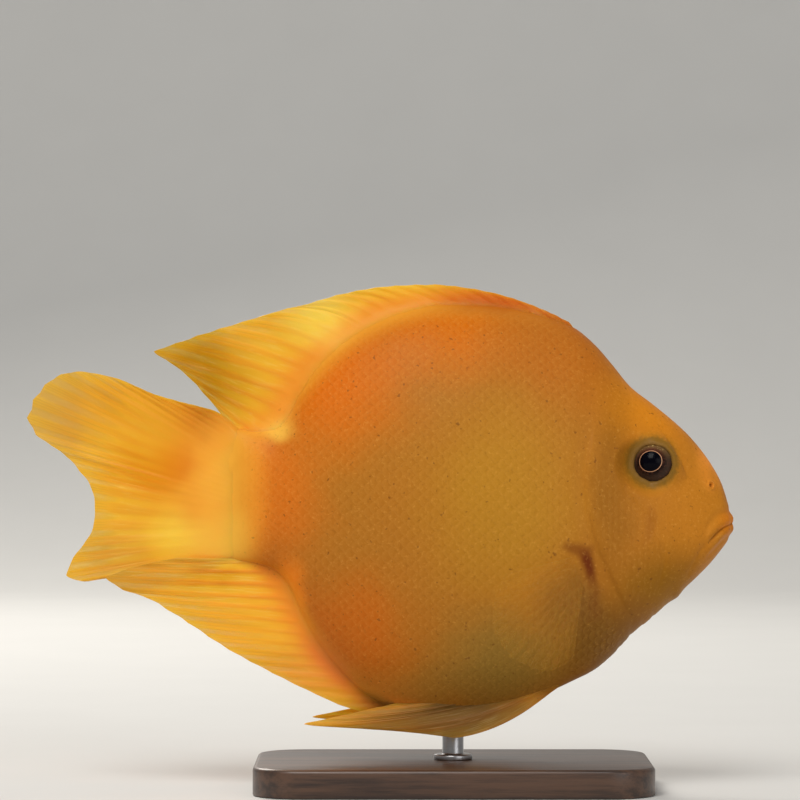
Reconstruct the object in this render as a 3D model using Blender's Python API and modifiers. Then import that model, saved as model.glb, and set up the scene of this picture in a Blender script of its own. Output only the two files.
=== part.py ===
"""Blood parrot cichlid, a life-size still model, swimming level on a plain display stand.

Metres, +Z up. The head points to +X, and the origin is the middle of the stand's underside.
Sizes are written in millimetres. Those of the fish are counted from the middle of its body,
which lies BODY_HEIGHT above the floor, and at() turns them into places.
"""

import math
from typing import NamedTuple

import bmesh
import bpy
import numpy as np
from mathutils import Vector

MM = 0.001
GAP = 0.3
SEAM = 0.00001
SHARP_ANGLE = 35
BODY_HEIGHT = 81.0


class Section(NamedTuple):
    """One cross-section of the trunk: its place, its height limits and its roundness."""

    x: float
    top: float
    bottom: float
    half_width: float
    widest: float
    ridge: float
    keel: float


class Sheet(NamedTuple):
    """How a fin's sheet is made: its half thicknesses, its ridges, its notches and its rows of points.

    taper is the share of the root's thickness that is lost at the first and the last ray.
    """

    root_half: float
    edge_half: float
    ridge: float
    notch: float
    rows: int
    taper: float = 0.0


class Finish(NamedTuple):
    """A plain finish: its colour, its roughness and whether it is metal."""

    colour: tuple[float, float, float]
    roughness: float
    metallic: float = 0.0


SECTIONS = (
    Section(78.4, -2.6, -9.9, 2.6, -6.3, 2.0, 2.0),
    Section(77.7, 0.1, -11.2, 4.6, -6.7, 2.1, 2.0),
    Section(76.0, 5.3, -13.5, 6.9, -7.4, 2.1, 2.0),
    Section(73.2, 10.5, -17.0, 9.1, -8.4, 2.1, 2.0),
    Section(68.0, 17.4, -22.3, 12.3, -9.4, 2.1, 2.0),
    Section(62.3, 23.0, -27.4, 15.0, -10.0, 2.1, 1.95),
    Section(56.5, 27.7, -32.6, 17.4, -10.0, 2.05, 1.9),
    Section(50.5, 32.4, -37.7, 19.4, -9.6, 2.0, 1.9),
    Section(45.0, 38.9, -43.5, 20.9, -9.0, 1.9, 1.9),
    Section(39.5, 45.1, -48.0, 22.1, -8.0, 1.85, 1.9),
    Section(33.0, 50.0, -51.2, 23.0, -7.0, 1.8, 1.95),
    Section(22.0, 53.4, -55.8, 24.0, -5.5, 1.75, 2.0),
    Section(10.0, 55.6, -59.4, 24.4, -4.0, 1.7, 2.05),
    Section(-3.0, 56.0, -61.2, 23.6, -3.0, 1.7, 2.05),
    Section(-14.0, 54.2, -59.6, 21.9, -2.0, 1.7, 2.0),
    Section(-24.0, 50.2, -54.8, 19.3, -1.0, 1.7, 1.9),
    Section(-32.5, 44.4, -47.4, 16.6, 0.0, 1.7, 1.8),
    Section(-39.0, 37.6, -39.2, 14.2, 0.5, 1.75, 1.75),
    Section(-43.5, 30.4, -30.8, 12.4, 0.8, 1.8, 1.8),
    Section(-46.8, 24.0, -23.6, 11.0, 1.0, 1.9, 1.9),
    Section(-50.8, 20.4, -19.2, 9.4, 1.0, 2.0, 2.0),
    Section(-56.0, 19.9, -17.4, 7.2, 1.0, 2.1, 2.1),
    Section(-60.2, 20.6, -17.0, 4.8, 1.0, 2.2, 2.2),
    Section(-62.4, 20.6, -16.6, 3.0, 1.0, 2.2, 2.2),
)
RINGS_PER_SECTION = 2
RING_SIDES = 36

# Places on the head, as (x, z) from the side.
EYE_PLACE = (57.9, 12.1)
EYE_RADIUS = 6.4
EYE_STANDS_OUT = 2.3
EYE_GAZE = (-0.22, 1.0, 0.14)
EYE_RINGS = 11
PUPIL_RADIUS = 3.1
PUPIL_STEP = 0.12
PUPIL_DOME = ((0.0, 0.75), (0.6, 0.5), (0.97, 0.0))
ORBIT_RIM_RADIUS = 6.7
ORBIT_RIM_THICKNESS = 0.8
NOSTRIL_PLACE = (72.6, 4.8)
NOSTRIL_RADIUS = 0.7
NOSTRIL_RIM_RADIUS = 1.2
NOSTRIL_DEPTH = 2.0
GAPE = ((84.0, -5.0), (76.8, -6.9), (71.2, -11.4))
CHIN = ((67.8, -16.6), (64.9, -23.2), (62.4, -34.0))
MOUTH_OPENING = 1.7
MOUTH_HALF_WIDTH = 4.4
MOUTH_CORNER_GAP = 0.1
MOUTH_FRONT_SHARE = 0.55
UPPER_LIP = ((77.9, -4.0), (76.7, -5.5), (71.6, -10.0))
LOWER_LIP = ((77.6, -8.3), (75.8, -9.7), (71.3, -12.8))
UPPER_LIP_RADIUS = 1.75
LOWER_LIP_RADIUS = 1.45
LIP_CORNER_RADIUS = 0.8
LIP_POINTS = 7
LIP_FRONT_HALF_WIDTH = 4.0
LIP_SPREAD = 1.6
LIP_FLANK_LIMIT = 76.6

# The gill opening from the nape to the throat, and the front edge of the gill cover.
GILL_OPENING = (
    (45.5, 60.0), (42.4, 38.0), (38.4, 20.0), (36.4, 4.0), (38.6, -8.0),
    (42.6, -18.0), (47.6, -28.0), (53.4, -36.6), (61.0, -48.0),
)
COVER_FRONT = ((56.2, -34.6), (57.2, -26.0), (53.6, -13.0), (50.2, 0.0), (46.6, 11.0), (41.4, 17.4))
COVER_REAR_SPAN = (0.355, 0.845)
COVER_THICKNESS = 2.0
COVER_PROUD = 0.55
COVER_NEAREST = 4.5
TAIL_CUT = ((-47.6, 40.0), (-48.6, 10.0), (-48.6, -10.0), (-47.6, -40.0))
CUTTER_REACH = 40.0

# Fins: rays run from roots sunk in the trunk to tips along each fin's outline, bowed by their sag. The
# membrane is cut back between their tips by a share of a ray's length, and each swing is how far a fin
# bends sideways, where its bend starts and the length over which it bends that far.
ROOT_SUNK = 2.6
SPINE_NOTCH = 0.035
SOFT_NOTCH = 0.015
PELVIC_NOTCH = 0.04
DORSAL_SHEET = Sheet(root_half=0.95, edge_half=0.26, ridge=0.42, notch=SOFT_NOTCH, rows=8)
DORSAL_SWING = (2.6, -36.0, 48.0)
SPINE_COUNT = 15
SPINE_BASE = (33.0, -24.0)
SPINE_EDGE = (
    (27.6, 53.6), (18.0, 57.4), (6.0, 60.3), (-6.0, 61.6), (-17.0, 61.2), (-28.3, 59.6), (-44.0, 55.3),
)
SPINE_SAG = (0.6, 2.6)
SPINE_SAG_STARTS = 7
SOFT_RAY_COUNT = 11
SOFT_DORSAL_BASE = (-25.4, -55.0)
SOFT_DORSAL_EDGE = (
    (-47.0, 54.7), (-56.7, 51.9), (-66.0, 49.1), (-76.0, 45.9), (-85.6, 41.8),
    (-79.8, 39.3), (-74.2, 34.5), (-66.2, 26.4),
)
SOFT_DORSAL_SAG = (2.6, -0.7)
ANAL_SHEET = Sheet(root_half=1.0, edge_half=0.26, ridge=0.38, notch=SOFT_NOTCH, rows=8)
ANAL_SWING = (-4.4, -44.0, 44.0)
ANAL_RAY_COUNT = 17
ANAL_BASE = (-12.0, -52.0)
ANAL_EDGE = (
    (-19.0, -60.8), (-28.4, -58.9), (-43.0, -52.6), (-54.0, -47.1), (-65.0, -41.0), (-76.0, -33.6),
    (-87.0, -26.9), (-98.4, -22.3), (-90.0, -19.8), (-78.0, -18.0),
)
ANAL_SAG = (-0.4, -0.4, 0.6)
TAIL_SHEET = Sheet(root_half=1.9, edge_half=0.26, ridge=0.35, notch=SOFT_NOTCH, rows=9, taper=0.65)
TAIL_SWING = (5.0, -60.0, 60.0)
TAIL_RAY_COUNT = 19
TAIL_ROOT_X = -59.8
TAIL_ROOT_SPAN = (19.4, -15.2)
TAIL_EDGE = (
    (-69.2, 26.2), (-84.0, 30.2), (-97.0, 35.4), (-107.5, 37.0), (-116.0, 33.2), (-121.2, 24.2),
    (-118.4, 18.6), (-111.5, 14.2), (-106.4, 9.0), (-102.4, 3.0), (-101.5, -4.0), (-104.0, -10.8),
    (-108.0, -16.2), (-109.9, -20.6), (-106.0, -22.7), (-94.0, -21.0),
)
TAIL_TOP_SAG = 1.2
TAIL_STRAIGHT_BELOW = 8.0
PECTORAL_SHEET = Sheet(root_half=0.8, edge_half=0.26, ridge=0.3, notch=SOFT_NOTCH, rows=8)
PECTORAL_RAY_COUNT = 13
PECTORAL_BASE = ((38.8, -13.2), (36.0, -21.8))
PECTORAL_LENGTH = 33.0
PECTORAL_RAY_LENGTHS = ((0.0, 0.74), (0.12, 0.9), (0.3, 1.0), (0.5, 0.99), (0.75, 0.88), (1.0, 0.62))
PECTORAL_FAN = (14.0, 82.0)
PECTORAL_FLARE = 20.0
PECTORAL_BOW = 1.4
PELVIC_SHEET = Sheet(root_half=0.9, edge_half=0.26, ridge=0.35, notch=PELVIC_NOTCH, rows=8)
PELVIC_ROOTS = ((30.0, 3.6, -51.6), (25.0, 8.4, -47.4))
PELVIC_TIPS = (
    (0.5, 9.2, -66.2), (-17.0, 8.8, -64.2), (-42.0, 8.2, -62.4),
    (-34.0, 8.4, -60.8), (-24.0, 8.6, -59.0), (-14.0, 9.2, -57.2),
)
PELVIC_SAG = (2.8, 3.2, 3.2, 2.6, 2.0, 1.4)
PELVIC_BOW = 2.0
PELVIC_LEFT_LIFT = (2.0, 0.0, 0.8)

STAND_LENGTH = 112.0
STAND_WIDTH = 72.0
STAND_THICKNESS = 8.0
STAND_CORNER = 14.0
STAND_EDGE = 1.2
ROD_RADIUS = 3.0
ROD_COLLAR_RADIUS = 5.5
ROD_COLLAR_HEIGHT = 1.6
ROD_COLLAR_EDGE = 0.6

# Colours are linear.
SKIN = Finish((0.78, 0.36, 0.06), 0.38)
FINS = Finish((0.90, 0.50, 0.10), 0.40)
EYES = Finish((0.02, 0.015, 0.02), 0.08)
STAND_WOOD = Finish((0.05, 0.035, 0.03), 0.45)
STAND_STEEL = Finish((0.55, 0.55, 0.56), 0.3, 1.0)


def at(x, y, z):
    """A place on the fish, given in millimetres from the middle of its body."""
    return Vector((x, y, z + BODY_HEIGHT)) * MM


def smooth(values, places):
    """Values read between listed ones along a curve that never overshoots them."""
    values = np.asarray(values, float)
    steps = np.diff(values, axis=0)
    before, after = steps[:-1], steps[1:]
    same_way = before * after > 0
    slopes = np.zeros_like(values)
    slopes[1:-1] = np.where(same_way, 2 * before * after / np.where(same_way, before + after, 1), 0)
    slopes[0], slopes[-1] = steps[0], steps[-1]
    places = np.asarray(places, float)
    low = np.clip(places.astype(int), 0, len(values) - 2)
    t = (places - low).reshape((-1,) + (1,) * (values.ndim - 1))
    a, b, m, n = values[low], values[low + 1], slopes[low], slopes[low + 1]
    return (
        a * (1 + 2 * t) * (1 - t) ** 2 + b * t * t * (3 - 2 * t)
        + m * t * (1 - t) ** 2 - n * t * t * (1 - t)
    )


def along(outline, count, first=0.0, last=1.0):
    """Evenly spaced points on a smooth curve through an outline, between two shares of its length."""
    fine = smooth(outline, np.linspace(0, len(outline) - 1, 40 * len(outline)))
    run = np.concatenate([[0], np.cumsum(np.linalg.norm(np.diff(fine, axis=0), axis=1))])
    shares = np.linspace(first, last, count) * run[-1]
    return np.stack([np.interp(shares, run, fine[:, k]) for k in range(fine.shape[1])], axis=1)


FINE_SECTIONS = smooth(SECTIONS, np.linspace(0, len(SECTIONS) - 1, 40 * len(SECTIONS)))


def section_at(x):
    """The trunk's cross-section at a place along its length."""
    rising = FINE_SECTIONS[::-1]
    return Section(*(np.interp(x, rising[:, 0], rising[:, k]) for k in range(len(Section._fields))))


def flank(x, z):
    """How far the trunk's surface is from the middle plane, seen from the side at (x, z)."""
    s = section_at(x)
    above = z > s.widest
    reach, power = (s.top - s.widest, s.ridge) if above else (s.widest - s.bottom, s.keel)
    share = min(abs(z - s.widest) / reach, 1.0)
    return s.half_width * (1 - share**power) ** (1 / power)


def outward(x, z, side):
    """The direction in which the trunk's surface faces at (x, z) on one side."""
    step = 0.5
    slope_x = (flank(x + step, z) - flank(x - step, z)) / (2 * step)
    slope_z = (flank(x, z + step) - flank(x, z - step)) / (2 * step)
    return Vector((-slope_x, side, -slope_z)).normalized()


def clear_scene():
    """Removes whatever the scene holds."""
    for obj in list(bpy.data.objects):
        bpy.data.objects.remove(obj)


def collection(name):
    """A new collection in the scene."""
    made = bpy.data.collections.new(name)
    bpy.context.scene.collection.children.link(made)
    return made


def finish_material(name, finish):
    """A Principled material with a plain finish."""
    made = bpy.data.materials.new(name)
    made.use_nodes = True
    shader = made.node_tree.nodes["Principled BSDF"]
    shader.inputs["Base Color"].default_value = (*finish.colour, 1.0)
    shader.inputs["Roughness"].default_value = finish.roughness
    shader.inputs["Metallic"].default_value = finish.metallic
    return made


def new_object(name, mesh, group):
    """An object for a mesh, in a collection."""
    made = bpy.data.objects.new(name, mesh)
    group.objects.link(made)
    return made


def mesh_of(bm, name):
    """A mesh from a bmesh, which is then freed."""
    mesh = bpy.data.meshes.new(name)
    bm.to_mesh(mesh)
    bm.free()
    return mesh


def applied(obj):
    """The object with its modifiers made part of its mesh."""
    graph = bpy.context.evaluated_depsgraph_get()
    mesh = bpy.data.meshes.new_from_object(obj.evaluated_get(graph))
    obj.modifiers.clear()
    obj.data = mesh
    return obj


def combine(target, operation, others):
    """One Boolean on a collection of other pieces, which are then removed."""
    group = bpy.data.collections.new("pieces")
    for other in others:
        group.objects.link(other)
    modifier = target.modifiers.new(operation, "BOOLEAN")
    modifier.operation = operation
    modifier.solver = "EXACT"
    modifier.operand_type = "COLLECTION"
    modifier.collection = group
    bpy.context.view_layer.update()
    applied(target)
    for other in others:
        bpy.data.objects.remove(other)
    bpy.data.collections.remove(group)
    return target


def islands(obj):
    """The closed surfaces of an object's mesh, each as a set of face numbers."""
    bm = bmesh.new()
    bm.from_mesh(obj.data)
    bm.faces.ensure_lookup_table()
    left, found = set(range(len(bm.faces))), []
    while left:
        front, island = [left.pop()], set()
        while front:
            face = front.pop()
            island.add(face)
            for edge in bm.faces[face].edges:
                for other in edge.link_faces:
                    if other.index in left:
                        left.remove(other.index)
                        front.append(other.index)
        found.append(island)
    bm.free()
    return found


def keep(obj, island):
    """Removes all of an object's faces but those of one closed surface."""
    bm = bmesh.new()
    bm.from_mesh(obj.data)
    bm.faces.ensure_lookup_table()
    extra = [face for face in bm.faces if face.index not in island]
    bmesh.ops.delete(bm, geom=extra, context="FACES")
    bm.to_mesh(obj.data)
    bm.free()
    return obj


def keep_largest(obj):
    """Drops loose scraps that a cut leaves."""
    return keep(obj, max(islands(obj), key=len))


def parted(obj, names, place):
    """Splits an object into its largest closed surfaces, named in their order along a direction."""
    whole = sorted(islands(obj), key=len)[-len(names):]
    middles = [
        sum((obj.data.polygons[f].center for f in island), Vector()).dot(place) / len(island)
        for island in whole
    ]
    made = []
    for name, (_, island) in zip(names, sorted(zip(middles, whole), key=lambda pair: pair[0])):
        made.append(keep(new_object(name, obj.data.copy(), obj.users_collection[0]), island))
    bpy.data.objects.remove(obj)
    return made


def loft(rings, name):
    """A closed mesh through rings of points, with a flat cap on each end."""
    bm = bmesh.new()
    rows = [[bm.verts.new(point) for point in ring] for ring in rings]
    sides = len(rows[0])
    for one, two in zip(rows, rows[1:]):
        for k in range(sides):
            bm.faces.new((one[k], one[(k + 1) % sides], two[(k + 1) % sides], two[k]))
    bm.faces.new(rows[0][::-1])
    bm.faces.new(rows[-1])
    bmesh.ops.recalc_face_normals(bm, faces=bm.faces)
    return mesh_of(bm, name)


def trunk(name, group, grown=0.0):
    """The whole body without its fins, grown or shrunk along its surface's normals."""
    places = np.linspace(0, len(SECTIONS) - 1, (len(SECTIONS) - 1) * RINGS_PER_SECTION + 1)
    turns = np.arange(RING_SIDES) * 2 * math.pi / RING_SIDES
    rings = []
    for row in smooth(SECTIONS, places):
        s = Section(*row)
        ring = []
        for turn in turns:
            up, out = math.cos(turn), math.sin(turn)
            reach, power = (s.top - s.widest, s.ridge) if up > 0 else (s.widest - s.bottom, s.keel)
            y = s.half_width * math.copysign(abs(out) ** (2 / power), out)
            z = s.widest + reach * math.copysign(abs(up) ** (2 / power), up)
            ring.append(at(s.x, y, z))
        rings.append(ring)
    mesh = loft(rings, name)
    if grown:
        for vertex, normal in zip(mesh.vertices, [v.normal.copy() for v in mesh.vertices]):
            vertex.co += normal * grown * MM
    return new_object(name, mesh, group)


def blade(path, thickness, group, count=14):
    """A thin upright sheet across the whole width, along a path seen from the side."""
    half = thickness / 2
    line = along(path, count)
    direction = np.gradient(line, axis=0)
    normal = np.stack([-direction[:, 1], direction[:, 0]], axis=1)
    normal /= np.linalg.norm(normal, axis=1)[:, None]
    rings = []
    for (x, z), (nx, nz) in zip(line, normal):
        rings.append([
            at(x + side * nx * half, y * CUTTER_REACH, z + side * nz * half)
            for side, y in ((1, -1), (1, 1), (-1, 1), (-1, -1))
        ])
    return new_object("blade", loft(rings, "blade"), group)


def prism(outline, near, far, group):
    """A solid with an outline seen from the side, between two distances from the middle plane."""
    rings = [[at(x, y, z) for x, z in outline] for y in (near, far)]
    return new_object("prism", loft(rings, "prism"), group)


def ball(centre, radius, group, segments=24, rings=14):
    """A sphere."""
    bm = bmesh.new()
    bmesh.ops.create_uvsphere(bm, u_segments=segments, v_segments=rings, radius=radius * MM)
    bmesh.ops.translate(bm, verts=bm.verts, vec=centre)
    return new_object("ball", mesh_of(bm, "ball"), group)


def turned(profile, steps, centre, axis, group):
    """A solid turned from a profile of (radius, height) points, set along an axis."""
    bm = bmesh.new()
    corners = [bm.verts.new((r * MM, 0, h * MM)) for r, h in profile]
    for one, two in zip(corners, corners[1:]):
        bm.edges.new((one, two))
    made = new_object("turned", mesh_of(bm, "turned"), group)
    screw = made.modifiers.new("turn", "SCREW")
    screw.steps = screw.render_steps = steps
    screw.use_merge_vertices = True
    screw.merge_threshold = SEAM
    bpy.context.view_layer.update()
    applied(made)
    bm = bmesh.new()
    bm.from_mesh(made.data)
    bmesh.ops.remove_doubles(bm, verts=bm.verts, dist=SEAM)
    bmesh.ops.recalc_face_normals(bm, faces=bm.faces)
    turn = Vector((0, 0, 1)).rotation_difference(axis).to_matrix()
    bmesh.ops.rotate(bm, verts=bm.verts, cent=(0, 0, 0), matrix=turn)
    bmesh.ops.translate(bm, verts=bm.verts, vec=centre)
    bm.to_mesh(made.data)
    bm.free()
    return made


def rim(centre, axis, radius, thickness, group, steps=24, sides=8):
    """A rounded ring around an opening."""
    turns = [2 * math.pi * k / sides for k in range(sides + 1)]
    profile = [(radius + thickness * math.cos(t), thickness * math.sin(t)) for t in turns[::-1]]
    return turned(profile, steps, centre, axis, group)


def plug(centre, axis, radius, depth, group):
    """A short round cutter, half above and half below a surface."""
    profile = [(0.0, depth), (radius, depth), (radius, -depth), (0.0, -depth)]
    return turned(profile, 12, centre, axis, group)


def lip(path, radius, group):
    """A lip: a tube round the mouth, following the snout's surface from corner to corner."""
    half = along(path, LIP_POINTS)[::-1]
    front_x, front_z = half[-1]
    points = []
    for x, z in half[:-1]:
        reach = min(flank(min(x, LIP_FLANK_LIMIT), z), LIP_FRONT_HALF_WIDTH + LIP_SPREAD * (front_x - x))
        points.append((x, reach - LIP_CORNER_RADIUS, z))
    front = [(front_x, 0.0, front_z)]
    outline = [(x, -y, z) for x, y, z in points] + front + points[::-1]
    centre = len(points)
    curve = bpy.data.curves.new("lip", "CURVE")
    curve.dimensions = "3D"
    curve.bevel_depth = MM
    curve.bevel_resolution = 2
    curve.use_fill_caps = True
    spline = curve.splines.new("POLY")
    smooth_line = smooth(outline, np.linspace(0, len(outline) - 1, 2 * len(outline) - 1))
    spline.points.add(len(smooth_line) - 1)
    for k, place in enumerate(smooth_line):
        share = 1 - abs(k / 2 - centre) / centre
        spline.points[k].co = (*at(*place), 1.0)
        spline.points[k].radius = LIP_CORNER_RADIUS + (radius - LIP_CORNER_RADIUS) * share**0.7
    made = new_object("lip", curve, group)
    bpy.context.view_layer.update()
    mesh = bpy.data.meshes.new_from_object(made.evaluated_get(bpy.context.evaluated_depsgraph_get()))
    bpy.data.objects.remove(made)
    bm = bmesh.new()
    bm.from_mesh(mesh)
    bmesh.ops.remove_doubles(bm, verts=bm.verts, dist=SEAM)
    bmesh.ops.recalc_face_normals(bm, faces=bm.faces)
    bm.to_mesh(mesh)
    bm.free()
    return new_object("lip", mesh, group)


def mouth_wedge(group):
    """The parted mouth: a wedge that narrows from the snout's front to the corner."""
    line = along(GAPE, 6)
    rings = []
    for (x, z), share in zip(line, np.linspace(1, 0, len(line))):
        half = (MOUTH_OPENING * share + MOUTH_CORNER_GAP) / 2
        reach = MOUTH_HALF_WIDTH * (1 - (1 - MOUTH_FRONT_SHARE) * share)
        rings.append([
            at(x, y * reach, z + side * half)
            for side, y in ((1, -1), (1, 1), (-1, 1), (-1, -1))
        ])
    return new_object("mouth", loft(rings[:-1], "mouth"), group)


def gill_outline(grown=0.0):
    """The gill cover seen from the side: up its rear edge, the gill opening, and down its front."""
    rear = along(GILL_OPENING, 12, *COVER_REAR_SPAN)
    front = along(COVER_FRONT, 12)
    outline = np.concatenate([rear, front])
    way = np.roll(outline, -1, axis=0) - np.roll(outline, 1, axis=0)
    away = np.stack([-way[:, 1], way[:, 0]], axis=1)
    away *= np.sign(np.sum(away * (outline - outline.mean(axis=0))))
    return outline + grown * away / np.linalg.norm(away, axis=1)[:, None]


def flesh(group):
    """The head, gill covers, lower jaw, body and tail stalk, parted by thin cuts."""
    whole = trunk("flesh", group)
    added = [lip(UPPER_LIP, UPPER_LIP_RADIUS, group), lip(LOWER_LIP, LOWER_LIP_RADIUS, group)]
    cut = [mouth_wedge(group)]
    for side in (-1, 1):
        x, z = EYE_PLACE
        axis = outward(x, z, side)
        skin = at(x, side * flank(x, z), z)
        added.append(rim(skin, axis, ORBIT_RIM_RADIUS, ORBIT_RIM_THICKNESS, group))
        cut.append(ball(eye_centre(side), EYE_RADIUS + GAP, group))
        x, z = NOSTRIL_PLACE
        axis = outward(x, z, side)
        skin = at(x, side * flank(x, z), z)
        added.append(rim(skin, axis, NOSTRIL_RIM_RADIUS, NOSTRIL_RIM_RADIUS - NOSTRIL_RADIUS, group, 12, 6))
        cut.append(plug(skin, axis, NOSTRIL_RADIUS, NOSTRIL_DEPTH, group))
    cut.append(blade(GAPE + CHIN, GAP, group))
    cut.append(blade(GILL_OPENING, 2 * GAP, group))
    cut.append(blade(TAIL_CUT, GAP, group, 6))
    for piece in added:
        combine(whole, "UNION", [piece])
    for piece in cut:
        combine(whole, "DIFFERENCE", [piece])
    pieces = parted(whole, ("tail_stalk", "body", "head", "lower_jaw"), Vector((1, 0, 0)))
    head = pieces[2]
    for side, name in ((-1, "gill_cover_right"), (1, "gill_cover_left")):
        near, far = side * COVER_NEAREST, side * CUTTER_REACH
        hollow = prism(gill_outline(GAP), near - side * GAP, far, group)
        combine(hollow, "DIFFERENCE", [trunk("core", group, -COVER_THICKNESS - GAP)])
        combine(head, "DIFFERENCE", [hollow])
        cover = trunk(name, group, COVER_PROUD)
        combine(cover, "INTERSECT", [prism(gill_outline(), near, far, group)])
        combine(cover, "DIFFERENCE", [trunk("core", group, -COVER_THICKNESS)])
        pieces.append(keep_largest(cover))
    keep_largest(head)
    return pieces


def eye_centre(side):
    """The middle of an eyeball, which stands out of the skin by EYE_STANDS_OUT."""
    x, z = EYE_PLACE
    return at(x, side * flank(x, z), z) - outward(x, z, side) * (EYE_RADIUS - EYE_STANDS_OUT) * MM


def eye(side, name, group):
    """An eyeball with a low step at the pupil's edge, turned the way the eye looks."""
    start = math.asin(PUPIL_RADIUS / EYE_RADIUS)
    angles = np.linspace(start, math.pi, EYE_RINGS + 1)
    ring = [(EYE_RADIUS * math.sin(a), EYE_RADIUS * math.cos(a)) for a in angles[:-1]]
    front = EYE_RADIUS * math.cos(start) + PUPIL_STEP
    lens = [(PUPIL_RADIUS * share, front + height) for share, height in PUPIL_DOME]
    profile = lens + ring + [(0.0, -EYE_RADIUS)]
    x, y, z = EYE_GAZE
    made = turned(profile, 24, eye_centre(side), Vector((x, side * y, z)).normalized(), group)
    made.name = name
    return made


def ray_line(root, tip, sag, rows):
    """Points along one ray, bowed by sag at its middle."""
    root, tip = np.asarray(root, float), np.asarray(tip, float)
    t = np.linspace(0, 1, rows)[:, None]
    return root * (1 - t) + tip * t + np.asarray(sag, float) * 4 * t * (1 - t)


def fin(name, rays, sheet, group, notches=None):
    """A fin: rays as ridges on both faces of a thin membrane, which is notched between their tips.

    rays is a list of lines of points, all with as many points as sheet.rows, and notches may give
    each gap between rays its own depth. Both faces are set off the membrane along the fin's mean
    normal and split into triangles the same way, so that a curved fin's faces never cross.
    """
    columns, ridged = [rays[0]], [True]
    for k, (one, two) in enumerate(zip(rays, rays[1:])):
        between = (one + two) / 2
        depth = notches[k] if notches is not None else sheet.notch
        columns += [between[0] + (between - between[0]) * (1 - depth), two]
        ridged += [False, True]
    grid = np.array(columns)
    across, down = np.diff(grid[:, :-1], axis=0), np.diff(grid[:-1], axis=1)
    normal = np.cross(across, down).sum(axis=(0, 1))
    normal /= np.linalg.norm(normal)
    share = np.linspace(0, 1, sheet.rows)
    spread = np.linspace(-1, 1, len(columns))[:, None]
    root_half = sheet.root_half * (1 - sheet.taper * spread**2)
    half = root_half + (sheet.edge_half - root_half) * share[None, :]**0.5
    ridge = sheet.ridge * (1 - 0.7 * share)
    thick = half + np.where(np.array(ridged)[:, None], ridge[None, :], 0)
    bm = bmesh.new()
    front, back = (
        [[bm.verts.new(at(*p)) for p in column] for column in grid + side * normal * thick[:, :, None]]
        for side in (1, -1)
    )
    last_column, last_row = len(columns) - 1, sheet.rows - 1
    for i in range(last_column):
        for j in range(last_row):
            for face, turn in ((front, 1), (back, -1)):
                a, b, c, d = face[i][j], face[i + 1][j], face[i + 1][j + 1], face[i][j + 1]
                bm.faces.new((a, b, c)[::turn])
                bm.faces.new((a, c, d)[::turn])
    border = [(i, 0) for i in range(last_column)] + [(last_column, j) for j in range(last_row)]
    border += [(i, last_row) for i in range(last_column, 0, -1)] + [(0, j) for j in range(last_row, 0, -1)]
    for (i, j), (m, n) in zip(border, border[1:] + border[:1]):
        bm.faces.new((front[i][j], back[i][j], back[m][n]))
        bm.faces.new((front[i][j], back[m][n], front[m][n]))
    bmesh.ops.recalc_face_normals(bm, faces=bm.faces)
    if bm.calc_volume(signed=True) < 0:
        bmesh.ops.reverse_faces(bm, faces=bm.faces)
    return new_object(name, mesh_of(bm, name), group)


def rooted(obj, group):
    """A fin cut back to the trunk's surface, with the gap that touching pieces keep."""
    return keep_largest(combine(obj, "DIFFERENCE", [trunk("clear", group, GAP)]))


def swung(points, amount, start, reach, power=2.0):
    """Points bent sideways, more the further they lie behind start."""
    points = np.array(points, float)
    share = np.clip((start - points[:, 0]) / reach, 0, None)
    points[:, 1] += amount * share**power
    return points


def contour(base, count, upper):
    """Root places along the back or the belly: points sunk below the trunk's outline."""
    rising = FINE_SECTIONS[::-1]
    part = rising[(rising[:, 0] <= base[0]) & (rising[:, 0] >= base[1])][::-1]
    line = along(part[:, [0, 1 if upper else 2]], count)
    direction = np.gradient(line, axis=0)
    inward = np.stack([-direction[:, 1], direction[:, 0]], axis=1) * (1 if upper else -1)
    inward /= np.linalg.norm(inward, axis=1)[:, None]
    return line + inward * ROOT_SUNK


def flat_rays(roots, tips, sag, rows, swing, start, reach):
    """Rays that lie in the middle plane, bowed by sag and then swung to one side."""
    rays = []
    for root, tip, bow in zip(roots, tips, np.broadcast_to(sag, (len(roots),))):
        line = ray_line((root[0], 0, root[1]), (tip[0], 0, tip[1]), (0, 0, bow), rows)
        rays.append(swung(line, swing, start, reach))
    return rays


def dorsal_fin(group):
    """The dorsal fin: spines laid low along the back, then soft rays that trail over the tail."""
    roots = np.concatenate([
        contour(SPINE_BASE, SPINE_COUNT, True), contour(SOFT_DORSAL_BASE, SOFT_RAY_COUNT, True),
    ])
    tips = np.concatenate([along(SPINE_EDGE, SPINE_COUNT), along(SOFT_DORSAL_EDGE, SOFT_RAY_COUNT)])
    spine_sag = np.interp(np.arange(SPINE_COUNT), (SPINE_SAG_STARTS, SPINE_COUNT), SPINE_SAG)
    sag = np.concatenate([spine_sag, np.linspace(*SOFT_DORSAL_SAG, SOFT_RAY_COUNT)])
    rays = flat_rays(roots, tips, sag, DORSAL_SHEET.rows, *DORSAL_SWING)
    notches = [SPINE_NOTCH] * (SPINE_COUNT - 1) + [SOFT_NOTCH] * SOFT_RAY_COUNT
    return rooted(fin("dorsal_fin", rays, DORSAL_SHEET, group, notches), group)


def anal_fin(group):
    """The anal fin, trailing below the tail fin and swung a little to the right."""
    roots = contour(ANAL_BASE, ANAL_RAY_COUNT, False)
    tips = along(ANAL_EDGE, ANAL_RAY_COUNT)
    sag = np.interp(np.linspace(0, 1, ANAL_RAY_COUNT), (0, 0.5, 1), ANAL_SAG)
    rays = flat_rays(roots, tips, sag, ANAL_SHEET.rows, *ANAL_SWING)
    return rooted(fin("anal_fin", rays, ANAL_SHEET, group), group)


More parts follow.
